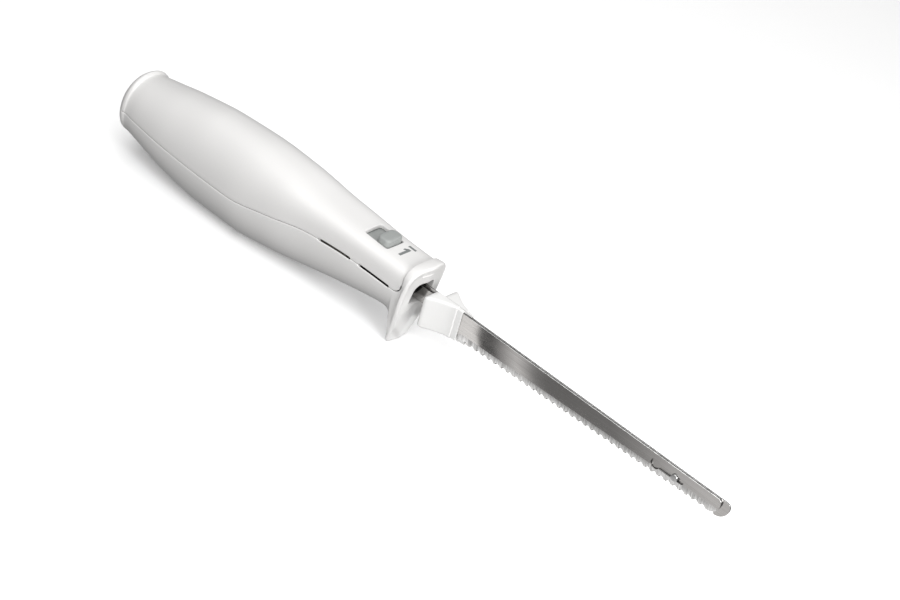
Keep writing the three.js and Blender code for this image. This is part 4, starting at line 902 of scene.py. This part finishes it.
def guard_outline():
    """The shield's outline (y, z), anticlockwise from the middle of its foot."""
    low, foot_half = GUARD_OUTLINE[0]
    corner = GUARD_FOOT_ROUND
    left = [(0.0, low), (foot_half - corner, low)]
    for n in range(1, CORNER_STEPS + 1):
        angle = math.pi / 2 * n / CORNER_STEPS
        y = foot_half - corner + corner * math.sin(angle)
        left.append((y, low + corner * (1 - math.cos(angle))))
    heights = stations(low + corner, GUARD_OUTLINE[-1][0], GUARD_STEP)[1:]
    left += [(between(GUARD_OUTLINE, z)[0], z) for z in heights]
    left += list(GUARD_TOP)
    right = [(-y, z) for y, z in reversed(left)][1:]
    closed = resample(left + right, GUARD_POINTS + 1)
    return closed[:-1]


def hole_outline():
    """The opening for the tangs: flat below, arched above."""
    half = []
    for n in range(CORNER_STEPS + 1):
        angle = math.pi / 2 * n / CORNER_STEPS
        y = HOLE_HALF - HOLE_CORNER + HOLE_CORNER * math.sin(angle)
        half.append((y, HOLE_BOTTOM + HOLE_CORNER * (1 - math.cos(angle))))
    for n in range(ARC_STEPS + 1):
        angle = math.pi / 2 * n / ARC_STEPS
        y = HOLE_HALF - HOLE_ARCH + HOLE_ARCH * math.cos(angle)
        half.append((y, HOLE_TOP - HOLE_ARCH + HOLE_ARCH * math.sin(angle)))
    return half + [(-y, z) for y, z in reversed(half)]


def on_outline(outline, middle, aim):
    """Where the way from a middle to an aim crosses an outline."""
    dy, dz = aim[0] - middle[0], aim[1] - middle[1]
    for (y0, z0), (y1, z1) in zip(outline, outline[1:] + outline[:1]):
        ey, ez = y1 - y0, z1 - z0
        turn = dy * ez - dz * ey
        if abs(turn) < PARALLEL:
            continue
        far = ((y0 - middle[0]) * ez - (z0 - middle[1]) * ey) / turn
        along = ((y0 - middle[0]) * dz - (z0 - middle[1]) * dy) / turn
        if far > 0 and -TINY <= along <= 1 + TINY:
            return middle[0] + dy * far, middle[1] + dz * far
    return middle


def shield():
    """The guard's shield: a bowed front in a rounded rim, a flat back, and the hole through it."""
    outline = guard_outline()
    normals = outward(outline)
    edge_of_hole = hole_outline()
    middle = (0.0, (HOLE_BOTTOM + HOLE_TOP) / 2)
    hole = [on_outline(edge_of_hole, middle, aim) for aim in outline]
    hole_normals = outward(hole)

    def rim(z):
        return between(GUARD_RIMS, z)[0]

    def leg_share(z):
        return min(1.0, max(0.0, (LEG_TOP - z) / LEG_JOIN))

    def back_at(y, z):
        return SHIELD_BACK - LEG_BACK * leg_share(z) - LEG_LEAN * max(0, SWEEP_TOP - z)

    def face_at(y, z):
        return guard_front(y, z) - FACE_DROP

    def rim_ring(depth, along):
        points = []
        for (y, z), (ny, nz) in zip(outline, normals):
            py, pz = y - ny * rim(z) * depth, z - nz * rim(z) * depth
            points.append((guard_front(py, pz) - rim(z) * along, py, pz))
        return points

    def hole_ring(out, drop):
        points = []
        for (y, z), (ny, nz) in zip(hole, hole_normals):
            py, pz = y + ny * out * HOLE_ROUND, z + nz * out * HOLE_ROUND
            points.append((face_at(py, pz) - drop * HOLE_ROUND, py, pz))
        return points

    def blend(first, second, share, x_at):
        points = []
        for (_, y, z), (_, hy, hz) in zip(first, second):
            py, pz = y + (hy - y) * share, z + (hz - z) * share
            points.append((x_at(py, pz), py, pz))
        return points

    def inward(first, second, reach, drop):
        points = []
        for (_, y, z), (_, hy, hz) in zip(first, second):
            share = reach / math.hypot(hy - y, hz - z)
            py, pz = y + (hy - y) * share, z + (hz - z) * share
            points.append((guard_front(py, pz) - FACE_DROP * drop, py, pz))
        return points

    mouth = [hole_ring(out, drop) for out, drop in reversed(ROUNDING)]
    edge = rim_ring(1, 0)
    bands = [inward(edge, mouth[-1], reach, drop) for reach, drop in FACE_EDGE]
    rings = mouth + [blend(mouth[-1], bands[0], n / FACE_STEPS, face_at) for n in range(1, FACE_STEPS)]
    rings += bands
    rings += [rim_ring(depth, along) for depth, along in quarter(6)]
    for depth, along in quarter(3):
        points = []
        for (y, z), (ny, nz) in zip(outline, normals):
            keep = 1 - leg_share(z)
            climb = min(1, max(0, (z - FLARE_LOW) / FLARE_RISE))
            flare = BACK_INSET * (1 - FLARE_LOSS * climb)
            inset = (flare + BACK_ROUND * along) * keep
            py = (y - ny * inset) * (1 - LEG_TAPER * (1 - keep))
            points.append((back_at(y, z) + BACK_ROUND * depth, py, z - nz * inset))
        rings.append(points)
    back = [(0.0, y, z) for y, z in hole]
    rings += [blend(rings[-1], back, share, back_at) for share in BACK_SHARES]
    rings.append(rings[0])
    points = [p for part in rings[:-1] for p in part]
    count = len(outline)
    faces = grid_faces(len(rings), count, True)
    return points, [tuple(v % len(points) for v in face) for face in faces]


def skin(x, y):
    """Height of the underside at a place on the plan."""
    section = section_at(x)
    share = abs(y) / section.half
    depth = (1 - share**section.below) ** (1 / section.below)
    return section.joint + (section.bottom - section.joint) * depth


def boss(x, y):
    """A screw's boss, which stands on the inside of the wall."""
    top = section_at(x).joint - SEAM / 2
    seat = top - SCREW_GRIP
    foot = FLOOR_LEVEL
    outside = [(BORE, top), (BOSS_RADIUS, top), (BOSS_RADIUS, foot)]
    recess = [(SCREW_RECESS, foot), (SCREW_RECESS, seat), (BORE, seat)]
    points, faces = turned(outside + recess, "z", (x, y, 0))
    return [(px, py, skin(px, py) + WALL / 2 if pz == foot else pz) for px, py, pz in points], faces


def circle(x, y, z, radius, steps=ROUND_STEPS):
    angles = [2 * math.pi * n / steps for n in range(steps)]
    return [(x + radius * math.cos(angle), y + radius * math.sin(angle), z) for angle in angles]


TUCK = 1.2  # the lower shell ends this far behind the shield's front
TUCK_STEP = 0.02
LEAST_STEP = 0.1  # between sections


def tucked(ring):
    end = SHIELD_BACK + SHELL_REACH
    return [(min(x, guard_front(y, z) - TUCK - TUCK_STEP * (end - x)), y, z) for x, y, z in ring]


def build_lower():
    front = SHIELD_BACK
    outer = [inlet_ring(HANDLE_REAR, False)]
    inner = [inlet_ring(HANDLE_REAR + REAR_WALL, False)]
    places = shell_stations(front)
    close = stations(*LEG_BEND, LEG_STEP / 3)
    places += [x for x in close if all(abs(x - other) > LEAST_STEP for other in places)]
    places = [*sorted(places), front + SHELL_REACH]
    for x in places:
        outer.append(tucked(outer_ring(x, lower_section_at(x), lower_start(x), False)))
        deep = inner_place(x, front + SHELL_REACH)
        start = min(lower_start(x), section_at(deep).joint - SEAM / 2)
        inner.append(inner_ring(deep, start - vent_slope(x), False))
    # The lower shell's inner faces take the near-black finish of painted shade.
    lower = make("lower_shell", shell(outer, inner), (HOUSING, INSIDE_PAINTED_SHADE), inner_faces(outer))
    for x, y in HOUSING_SCREWS:
        ends = (FLOOR_LEVEL - RECESS_PAST, skin(x, y) + RECESS_DEPTH)
        cut(lower, loft([circle(x, y, z, RECESS_MOUTH) for z in ends]))
        join(lower, boss(x, y))
    join(lower, shield())
    complete(lower, HOUSING, "housing", "housing_plastic", "lower_housing")


build_cover()
build_lower()


# Small pieces on the housing

ROD_SIDES = 16


def rod_between(points, radii):
    """A closed rod of elliptical section through points, along Y."""
    rings = []
    for (x, y, z), (out, high) in zip(points, radii):
        ring = []
        for n in range(ROD_SIDES):
            angle = 2 * math.pi * n / ROD_SIDES
            ring.append((x + out * math.sin(angle), y, z + high * math.cos(angle)))
        rings.append(ring)
    return loft(rings)


BEAD_RIGHT = -7.0
BEAD_LEFT = 2.0
BEAD_Z = 19.0
BEAD_HIGH = 0.75
BEAD_OUT = 0.45
BEAD_END = 0.02  # its ends aren't quite points
BEAD_STEPS = 24


def build_bead():
    points, radii = [], []
    for n in range(BEAD_STEPS + 1):
        y = BEAD_RIGHT + (BEAD_LEFT - BEAD_RIGHT) * n / BEAD_STEPS
        end = min(y - BEAD_RIGHT, BEAD_LEFT - y) / BEAD_HIGH
        share = math.sqrt(max(BEAD_END, 1 - (1 - min(1, end)) ** 2))
        points.append((guard_front(y, BEAD_Z) - FACE_DROP, y, BEAD_Z))
        radii.append((BEAD_OUT * share, BEAD_HIGH * share))
    bead = make("guard_bead", rod_between(points, radii))
    complete(bead, HOUSING, "housing", "housing_plastic")


build_bead()

MARK_RISE = 0.06
MARK_DIGIT = (
    (-20.1, -5.2),
    (-18.2, -5.2),
    (-18.2, 4.4),
    (-20.1, 4.4),
    (-21.9, 2.4),
    (-21.6, 1.0),
    (-20.1, 1.8),
)
MARK_BAR = ((-22.2, 6.0), (-16.6, 6.0), (-16.6, 7.7), (-22.2, 7.7))


def on_roof(outline):
    """A thin print on the cover."""
    line = []
    for (x0, y0), (x1, y1) in zip(outline, outline[1:] + outline[:1]):
        count = math.ceil(math.dist((x0, y0), (x1, y1)))
        line += [(x0 + (x1 - x0) * n / count, y0 + (y1 - y0) * n / count) for n in range(count)]
    return loft([[(x, y, roof(x, y) + rise) for x, y in line] for rise in (-MARK_RISE, MARK_RISE)])


def build_mark():
    points, faces = on_roof(MARK_DIGIT)
    bar_points, bar_faces = on_roof(MARK_BAR)
    faces += [tuple(v + len(points) for v in face) for face in bar_faces]
    mark = make("position_mark", (points + bar_points, faces))
    complete(mark, MARK, "housing", "housing_plastic")


build_mark()

GLAND = (
    (3.4, 0.4),
    (3.8, 0.0),
    (4.3, 0.0),
    (4.85, 0.25),
    (5.0, 0.8),
    (5.0, 6.2),
    (6.4, 6.2),
    (6.4, 8.2),
    (3.4, 8.2),
)


def build_gland():
    gland = make("cord_inlet_gland", turned(GLAND, "x", (HANDLE_REAR, 0, INLET), steps=64))
    complete(gland, RUBBER, "housing", "gland_rubber", "cord_gland")


build_gland()

SCREW_HEAD = 2.5
SCREW_SHANK = 1.5
SCREW_REACH = 7.0
SCREW_HEAD_HEIGHT = 2.0
SCREW_POINT = 0.8
SCREW_DOME = ((0.0, -0.15), (1.4, -0.1), (2.1, 0.12), (SCREW_HEAD, 0.6))  # radius, rise
CROSS = ((1.5, 0.3), (0.3, 1.5))
CROSS_DEPTH = 1.0


def build_screw(number, x, y):
    joint = section_at(x).joint
    seat = joint - SEAM / 2 - SCREW_GRIP - FIT
    under = seat - SCREW_HEAD_HEIGHT
    profile = [(radius, under + rise) for radius, rise in SCREW_DOME]
    profile += [
        (SCREW_HEAD, seat),
        (SCREW_SHANK, seat),
        (SCREW_SHANK, joint + SCREW_REACH - SCREW_POINT),
        (0.0, joint + SCREW_REACH),
    ]
    screw = make(f"shell_screw_{number}", turned(profile, "z", (x, y, 0)))
    ends = (under - CROSS_DEPTH, under + CROSS_DEPTH)
    cut(screw, *[slab(x - a, x + a, y - b, y + b, *ends) for a, b in CROSS])
    complete(screw, STEEL, "housing", "plain_steel", f"housing_screw_{number}")


for number, (x, y) in enumerate(HOUSING_SCREWS, 1):
    build_screw(number, x, y)


# Switch slider

slider_low, slider_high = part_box("switch_slider")
SLIDER_THICKNESS = 1.6
LUG_LENGTH = 4.0
LUG_DEPTH = 2.4
TAIL_REACH = 1.2
PLATE_CORNER = 1.0
LUG_BOTTOM = slider_low.z / MM - SHIFT_Z
SLIDER_BOTTOM = LUG_BOTTOM + LUG_DEPTH
SLIDER_TOP = SLIDER_BOTTOM + SLIDER_THICKNESS
LUG_REAR = slider_low.x / MM - SHIFT_X
BUTTON_RISE = 1.0  # over the plain solid
BUTTON_TOP = slider_high.z / MM - SHIFT_Z + BUTTON_RISE
BUTTON_CROWN = 0.25
BUTTON_DRAFT = 0.15
BUTTON_SINK = 0.8  # into the plate
BUTTON_WALL = 1.0  # plain wall over the plate
BUTTON_INSETS = (2.4, 3.4)
BUTTON_LEAST = 0.4  # smallest corner
BUTTON_LOSS = 0.6  # of the corner, for each mm inward


def build_slider():
    front = SLOT_FRONT - RUN
    rear = front - BUTTON_LENGTH
    half = SLOT_HALF - RUN

    def ring(inset, z, crown=0.0):
        corner = max(BUTTON_LEAST, BUTTON_CORNER - inset * BUTTON_LOSS)
        outline = rounded_rectangle(rear + inset, front - inset, -half + inset, half - inset, corner)
        return [(x, y, z + crown * (1 - (y / half) ** 2)) for x, y in outline]

    rings = [ring(0.0, PLATE_TOP - BUTTON_SINK), ring(0.0, PLATE_TOP + BUTTON_WALL)]
    high = BUTTON_TOP - BUTTON_CROWN
    for depth, along in quarter(6):
        inset = BUTTON_DRAFT + BUTTON_ROUND * along
        rings.append(ring(inset, high - BUTTON_ROUND * depth, BUTTON_CROWN * along))
    for inset in BUTTON_INSETS:
        rings.append(ring(BUTTON_DRAFT + inset, high, BUTTON_CROWN))
    plate = rounded_rectangle(SLIDER_REAR, SLIDER_FRONT, -SLIDER_HALF, SLIDER_HALF, PLATE_CORNER, 4)
    levels = (SLIDER_BOTTOM, PLATE_TOP)
    slider = make("thumb_slider", loft([[(x, y, z) for x, y in plate] for z in levels]))
    lug_half = LUG_LENGTH / 2
    tail = slab(LUG_REAR, SLIDER_REAR + TAIL_REACH, -LUG_LENGTH, LUG_LENGTH, SLIDER_BOTTOM, SLIDER_TOP)
    lug = slab(LUG_REAR, LUG_REAR + LUG_LENGTH, -lug_half, lug_half, LUG_BOTTOM, SLIDER_TOP - FIT)
    join(slider, loft(rings), tail, lug)
    complete(slider, SWITCH, "switch", "switch_plastic", "switch_slider")


build_slider()


# Blades


def edge_line(x):
    share = (x - FIRST_TOOTH) / (LAST_TOOTH - FIRST_TOOTH)
    return EDGE_AT_HUB + share * (EDGE_AT_TIP - EDGE_AT_HUB)


def blade_edge(x):
    if x <= SHOULDER_X:
        return TANG_BOTTOM
    if x <= SHOULDER_FRONT:
        share = (x - SHOULDER_X) / (SHOULDER_FRONT - SHOULDER_X)
        return TANG_BOTTOM + share * (ROOT_BOTTOM - TANG_BOTTOM)
    if x <= HEEL_X:
        return ROOT_BOTTOM
    if x <= HEEL_X + HEEL_LENGTH:
        share = (x - HEEL_X) / HEEL_LENGTH
        return ROOT_BOTTOM + share * (edge_line(HEEL_X) - ROOT_BOTTOM)
    if x <= FIRST_TOOTH:
        return edge_line(x)
    if x <= LAST_TOOTH:
        share = (x - FIRST_TOOTH) / (LAST_TOOTH - FIRST_TOOTH) * TEETH % 1
        return edge_line(x) + SCALLOP_DEPTH * 4 * share * (1 - share)
    along = max(0, x - (TIP_X - TIP_ROUND))
    return edge_line(min(x, TIP_X)) + TIP_ROUND - math.sqrt(max(0, TIP_ROUND**2 - along**2))


def blade_spine(x, side):
    if x <= SHOULDER_X:
        return TANG_TOPS[side]
    if x <= SHOULDER_FRONT:
        share = (x - SHOULDER_X) / (SHOULDER_FRONT - SHOULDER_X)
        return TANG_TOPS[side] + share * (SPINE_AT_HUB - TANG_TOPS[side])
    share = (x - SHOULDER_FRONT) / (TIP_X - SHOULDER_FRONT)
    along = max(0, x - (TIP_X - TIP_CORNER))
    drop = TIP_CORNER - math.sqrt(max(0, TIP_CORNER**2 - along**2))
    return SPINE_AT_HUB + share * (SPINE_AT_TIP - SPINE_AT_HUB) - drop


def blade_stations():
    places = [TANG_REAR, *stations(TANG_REAR + TANG_STEP, SHOULDER_X, TANG_STEP)]
    places += [SHOULDER_FRONT, ROOT_SPLIT, HEEL_X, HEEL_X + HEEL_LENGTH]
    places += stations(HEEL_X + 1.5 * HEEL_LENGTH, FIRST_TOOTH, 1)
    pitch = (LAST_TOOTH - FIRST_TOOTH) / TEETH
    places += [FIRST_TOOTH + pitch * n / TOOTH_STEPS for n in range(1, TEETH * TOOTH_STEPS + 1)]
    reach = TIP_X - LAST_TOOTH
    turns = [math.pi / 2 * n / TIP_STEPS for n in range(1, TIP_STEPS)]
    places += [LAST_TOOTH + reach * math.sin(turn) for turn in turns]
    return sorted({round(x, 4) for x in [*places, TIP_X - TIP_BLUNT]})


def blade_ring(x, side):
    low, high = blade_edge(x), blade_spine(x, side)
    line = edge_line(x)
    if x > HEEL_X + HEEL_LENGTH / 2:
        share = min(1, max(0, (low - line) / GRIND_HEIGHT))
        thin = BLADE_INNER + GRIND_EDGE + (BLADE_OUTER - BLADE_INNER - GRIND_EDGE) * share
        top = max(line + GRIND_HEIGHT, low + GRIND_LEAST)
    else:
        thin = BLADE_OUTER - SPINE_ROUND
        top = low + SPINE_ROUND
    top = min(top, high - 3 * SPINE_ROUND)
    low = min(low, top - GRIND_LEAST / 2)
    return [
        (BLADE_INNER, low),
        (thin, low),
        (BLADE_OUTER, top),
        (BLADE_OUTER, top + (high - SPINE_ROUND - top) / 2),
        (BLADE_OUTER, high - SPINE_ROUND),
        (BLADE_OUTER - SPINE_ROUND, high),
        (BLADE_INNER + SPINE_ROUND / 2, high),
        (BLADE_INNER, high - SPINE_ROUND / 2),
        (BLADE_INNER, (low + high) / 2),
    ]


def keyhole_cutter():
    middle = KEYHOLE_REAR + KEYHOLE_ROUND
    opening = math.asin(KEYHOLE_HALF / KEYHOLE_ROUND)
    outline = []
    for n in range(KEYHOLE_STEPS + 1):
        angle = opening + (2 * math.pi - 2 * opening) * n / KEYHOLE_STEPS
        x = middle + KEYHOLE_ROUND * math.cos(angle)
        outline.append((x, KEYHOLE_Z + KEYHOLE_ROUND * math.sin(angle)))
    for n in range(ARC_STEPS + 1):
        angle = -math.pi / 2 + math.pi * n / ARC_STEPS
        x = KEYHOLE_FRONT - KEYHOLE_HALF + KEYHOLE_HALF * math.cos(angle)
        outline.append((x, KEYHOLE_Z + KEYHOLE_HALF * math.sin(angle)))
    ends = (-BLADE_OUTER - KEYHOLE_PAST, KEYHOLE_PAST / 2)
    return loft([[(x - HALF_STROKE, y, z) for x, z in outline] for y in ends])


def in_keyhole(spot, side):
    """Whether a face of the right blade is the wall of its keyhole."""
    x, z = spot.x / MM - SHIFT_X + HALF_STROKE, spot.z / MM - SHIFT_Z
    along = KEYHOLE_REAR - KEYHOLE_NEAR < x < KEYHOLE_FRONT + KEYHOLE_NEAR
    return side < 0 and along and abs(z - KEYHOLE_Z) < KEYHOLE_ROUND + KEYHOLE_NEAR


def build_blade(side):
    word = SIDES[side]
    rings = []
    for x in blade_stations():
        rings.append([(x + side * HALF_STROKE, side * y, z) for y, z in blade_ring(x, side)])
    obj = make(f"{word}_saw_blade", loft(rings))
    if side < 0:
        cut(obj, keyhole_cutter())
    complete(obj, FACE, f"{word}_cutter", "blade_steel", f"{word}_blade")
    obj.data.materials.append(GRIND)
    obj.data.materials.append(SHEARED_EDGE_AND_SHADE)
    slope = (BLADE_OUTER - BLADE_INNER - GRIND_EDGE) / GRIND_HEIGHT
    for face in obj.data.polygons:
        tilt = -face.normal.z / max(abs(face.normal.y), LEAST_TURN)
        ground = abs(tilt - slope) < slope / 2 and face.normal.y * side > 0
        if ground or face.normal.z > BEVEL_TURN:
            face.material_index = 1
        # Keyhole walls and spine tops take the dark finish: painted shade in the keyhole's gap, and
        # darker sheared steel with painted shade on the spines.
        wall = abs(face.normal.y) < EDGE_TILT and in_keyhole(face.center, side)
        if wall or face.normal.z > SPINE_TURN:
            face.material_index = 2


STUD = (
    (0.0, -2.5),
    (1.6, -2.5),
    (2.1, -2.35),
    (2.3, -2.0),
    (2.3, -1.5),
    (1.1, -1.5),
    (1.1, 1.35),
    (2.3, 1.35),
    (2.3, 1.6),
    (1.9, 1.9),
    (0.0, 1.95),
)


def build_stud():
    stud = make("hook_stud", turned(STUD, "y", (STUD_X + HALF_STROKE, 0, KEYHOLE_Z), steps=32))
    complete(stud, STEEL, "left_cutter", "plain_steel", "blade_stud")


for side in SIDES:
    build_blade(side)
build_stud()


# Hubs


def hub_half(x):
    share = min(1, (x - HUB_REAR) / (HUB_FRONT - HUB_REAR))
    return HUB_FRONT_HALF + (HUB_REAR_HALF - HUB_FRONT_HALF) * (1 - share) ** HUB_CURVE


def hub_ring(x, half, low, high, corner):
    """Half a section of the pair of hubs, rounded on the outside."""
    corner = min(corner, (half - BLADE_INNER) * HUB_CORNER_SHARE)
    points = [(BLADE_INNER, low), (BLADE_INNER + (half - corner - BLADE_INNER) / 2, low)]
    for n in range(HUB_CORNER_STEPS + 1):
        angle = math.pi / 2 * n / HUB_CORNER_STEPS
        y = half - corner + corner * math.sin(angle)
        points.append((y, low + corner * (1 - math.cos(angle))))
    points += [(half, low + (high - low) * n / 6) for n in range(2, 5)]
    for n in range(HUB_CORNER_STEPS + 1):
        angle = math.pi / 2 * n / HUB_CORNER_STEPS
        y = half - corner + corner * math.cos(angle)
        points.append((y, high - corner + corner * math.sin(angle)))
    points += [(BLADE_INNER + (half - corner - BLADE_INNER) / 2, high), (BLADE_INNER, high)]
    return [(x, y, z) for y, z in points]


def build_hub(side):
    word = SIDES[side]
    rings = []
    for inset, along in quarter(6):
        x = HUB_REAR + HUB_REAR_ROUND * along
        depth = HUB_REAR_ROUND * inset
        low, high = HUB_BOTTOM + depth * HUB_REAR_DROP, HUB_TOP - depth * HUB_REAR_DROP
        rings.append(hub_ring(x, hub_half(x) - depth, low, high, HUB_ROUND))
    for x in stations(HUB_REAR + HUB_REAR_ROUND, HUB_FRONT - LIP, HUB_STEP)[1:]:
        rings.append(hub_ring(x, hub_half(x), HUB_BOTTOM, HUB_TOP, HUB_ROUND))
    for inset, along in quarter(3):
        depth = LIP * along
        x = HUB_FRONT - LIP * inset
        rings.append(hub_ring(x, hub_half(x) - depth, HUB_BOTTOM + depth, HUB_TOP - depth, HUB_ROUND))
    collar = [(HUB_FRONT + COLLAR_START, 0.0)]
    collar += [(COLLAR_FRONT - back, depth) for back, depth in COLLAR_EDGE]
    for x, depth in collar:
        low, high = HUB_BOTTOM + COLLAR_STEP + depth, HUB_TOP - COLLAR_STEP - depth
        rings.append(hub_ring(x, COLLAR_HALF - depth, low, high, COLLAR_CORNER))
    moved = [[(x + side * HALF_STROKE, side * y, z) for x, y, z in ring] for ring in rings]
    hub = make(f"{word}_moulded_hub", loft(moved))
    shift = side * HALF_STROKE
    ends = sorted((side * -HUB_INNER_PAST, side * (BLADE_OUTER + FIT)))
    rear, front = HUB_REAR - HUB_PAST + shift, SHOULDER_FRONT + FIT + shift
    tang = slab(rear, front, *ends, TANG_BOTTOM - FIT, TANG_TOPS[side] + FIT)
    rear, front = SHOULDER_X - FIT + shift, COLLAR_FRONT + HUB_PAST + shift
    root = slab(rear, front, *ends, ROOT_BOTTOM - FIT, SPINE_AT_HUB + FIT)
    cut(hub, tang, root)
    complete(hub, HUB, f"{word}_cutter", "hub_plastic", f"{word}_blade_hub")


for side in SIDES:
    build_hub(side)


# Stage, light and camera

WHITE = (1, 1, 1, 1)
FLOOR_SIZE = 8  # in metres
FLOOR_GAP = 0.05
FLOOR_GLOW = 0.08
SKY_GLOW = 0.28
# Softboxes: name, place, target, width and height in metres, power
SOFTBOXES = (
    ("overhead", (0, 0.25, 1.3), (0, 0, 0.02), 2.4, 2.0, 13.0),
    ("key", (0.05, -0.75, 1.05), (0, 0, 0.02), 1.0, 0.8, 8.8),
    ("front", (0.75, -0.25, 0.35), (0, 0, 0.02), 0.4, 0.4, 6.0),
    ("fill", (0.42, -0.66, 0.17), (-0.02, 0, 0.02), 1.1, 0.32, 1.9),
)


def build_floor():
    bpy.ops.mesh.primitive_plane_add(size=FLOOR_SIZE, location=(0, 0, -FLOOR_GAP * MM))
    floor = bpy.context.object
    floor.name = "floor"
    paper = finish("white paper", MOULDED, (0.95, 0.95, 0.95), (0.945, 0.945, 0.945), 0.8, 0.02)
    shader = paper.node_tree.nodes["Principled BSDF"]
    shader.inputs["Specular IOR Level"].default_value = 0
    shader.inputs["Emission Color"].default_value = WHITE
    shader.inputs["Emission Strength"].default_value = FLOOR_GLOW
    floor.data.materials.append(paper)
    floor.visible_diffuse = False
    floor.visible_glossy = False


def add_softbox(name, location, target, width, height, power):
    data = bpy.data.lights.new(name, "AREA")
    data.shape = "RECTANGLE"
    data.size = width
    data.size_y = height
    data.energy = power
    light = bpy.data.objects.new(name, data)
    bpy.context.scene.collection.objects.link(light)
    way = Vector(target) - Vector(location)
    light.location = location
    light.rotation_euler = way.to_track_quat("-Z", "Y").to_euler()


# Cards beside the blades, seen only in reflections: what the polished faces mirror along their length
CARD_SKEW = 0.626  # a place on the card lies this much further back for each mm from the blades
CARD_NEAR = 24.0
CARD_FAR = 90.0
CARD_REAR = -14.0
CARD_FRONT = 260.0
CARD_LEVEL = 0.6
CARD_TINT = (1, 0.985, 0.975)
STRIP_NEAR = 2.0
STRIP_TONE = 1.6  # what the grinds mirror
CARD_TONES = (
    (-10, 0.3),
    (15, 0.34),
    (31, 1.1),
    (44.8, 1.2),
    (46.2, 0.09),
    (58, 0.14),
    (63, 0.36),
    (76, 0.85),
    (90, 0.28),
    (100, 0.2),
    (150, 0.25),
    (172, 0.38),
    (196, 0.62),
    (222, 0.75),
)


def card_finish():
    material = bpy.data.materials.new("card tones")
    material.use_nodes = True
    nodes, links = material.node_tree.nodes, material.node_tree.links
    nodes.clear()
    where = nodes.new("ShaderNodeTexCoord")
    parts = nodes.new("ShaderNodeSeparateXYZ")
    links.new(where.outputs["Object"], parts.inputs["Vector"])
    tree = material.node_tree
    out = add_math(tree, "ABSOLUTE", parts.outputs["Y"], 0.0)
    skew = add_math(tree, "MULTIPLY", out, CARD_SKEW)
    along = add_math(tree, "ADD", parts.outputs["X"], skew)
    spread = nodes.new("ShaderNodeMapRange")
    first, last = CARD_TONES[0][0], CARD_TONES[-1][0]
    spread.inputs["From Min"].default_value = place(first, 0, 0).x
    spread.inputs["From Max"].default_value = place(last, 0, 0).x
    links.new(along, spread.inputs["Value"])
    ramp = nodes.new("ShaderNodeValToRGB")
    stops = ramp.color_ramp.elements
    while len(stops) < len(CARD_TONES):
        stops.new(0.5)
    for stop, (x, tone) in zip(stops, CARD_TONES):
        stop.position = (x - first) / (last - first)
        stop.color = (*[tone * share for share in CARD_TINT], 1)
    links.new(spread.outputs["Result"], ramp.inputs["Fac"])
    glow = nodes.new("ShaderNodeEmission")
    links.new(ramp.outputs["Color"], glow.inputs["Color"])
    end = nodes.new("ShaderNodeOutputMaterial")
    links.new(glow.outputs["Emission"], end.inputs["Surface"])
    return material


def strip_finish():
    material = bpy.data.materials.new("strip tone")
    material.use_nodes = True
    shader = material.node_tree.nodes["Principled BSDF"]
    shader.inputs["Base Color"].default_value = (0, 0, 0, 1)
    shader.inputs["Emission Color"].default_value = WHITE
    shader.inputs["Emission Strength"].default_value = STRIP_TONE
    return material


def add_card(name, side, near, far, material):
    corners = []
    for y, x0, x1 in ((near, CARD_REAR, CARD_FRONT), (far, CARD_FRONT, CARD_REAR)):
        for x in (x0, x1):
            corners.append(place(x - CARD_SKEW * y, side * y, FLOOR_LEVEL + CARD_LEVEL))
    mesh = bpy.data.meshes.new(name)
    mesh.from_pydata(corners, [], [(0, 1, 2, 3)])
    mesh.materials.append(material)
    card = bpy.data.objects.new(name, mesh)
    bpy.context.scene.collection.objects.link(card)
    for ray in ("camera", "diffuse", "transmission", "volume_scatter", "shadow"):
        setattr(card, f"visible_{ray}", False)


def build_cards():
    tones, plain = card_finish(), strip_finish()
    for side, word in SIDES.items():
        add_card(f"card_{word}", side, CARD_NEAR, CARD_FAR, tones)
        add_card(f"strip_{word}", side, STRIP_NEAR, CARD_NEAR, plain)


VIEW_RIGHT = Vector((0.7276, 0.6413, 0.2439))
VIEW_UP = Vector((-0.5209, 0.2856, 0.8048))
VIEW_DISTANCE = 1500.0
VIEW_ACROSS = -16.857  # the origin in the picture, in millimetres from its middle
VIEW_RISE = 0.057
LENS = 105.0
SENSOR = 36


def build_camera():
    right = VIEW_RIGHT.normalized()
    back = right.cross(VIEW_UP).normalized()
    up = back.cross(right)
    spot = back * VIEW_DISTANCE - right * VIEW_ACROSS - up * VIEW_RISE
    data = bpy.data.cameras.new("camera")
    data.lens = LENS
    data.sensor_width = SENSOR
    camera = bpy.data.objects.new("camera", data)
    bpy.context.scene.collection.objects.link(camera)
    turn = Matrix((right, up, back)).transposed().to_4x4()
    camera.matrix_world = Matrix.Translation(place(*spot)) @ turn
    bpy.context.scene.camera = camera


def build_world():
    world = bpy.data.worlds.new("studio")
    world.use_nodes = True
    sky = world.node_tree.nodes["Background"].inputs
    sky["Color"].default_value = WHITE
    sky["Strength"].default_value = SKY_GLOW
    bpy.context.scene.world = world


build_floor()
build_cards()
build_camera()
build_world()
for softbox in SOFTBOXES:
    add_softbox(*softbox)
bpy.context.scene.view_settings.view_transform = "Standard"
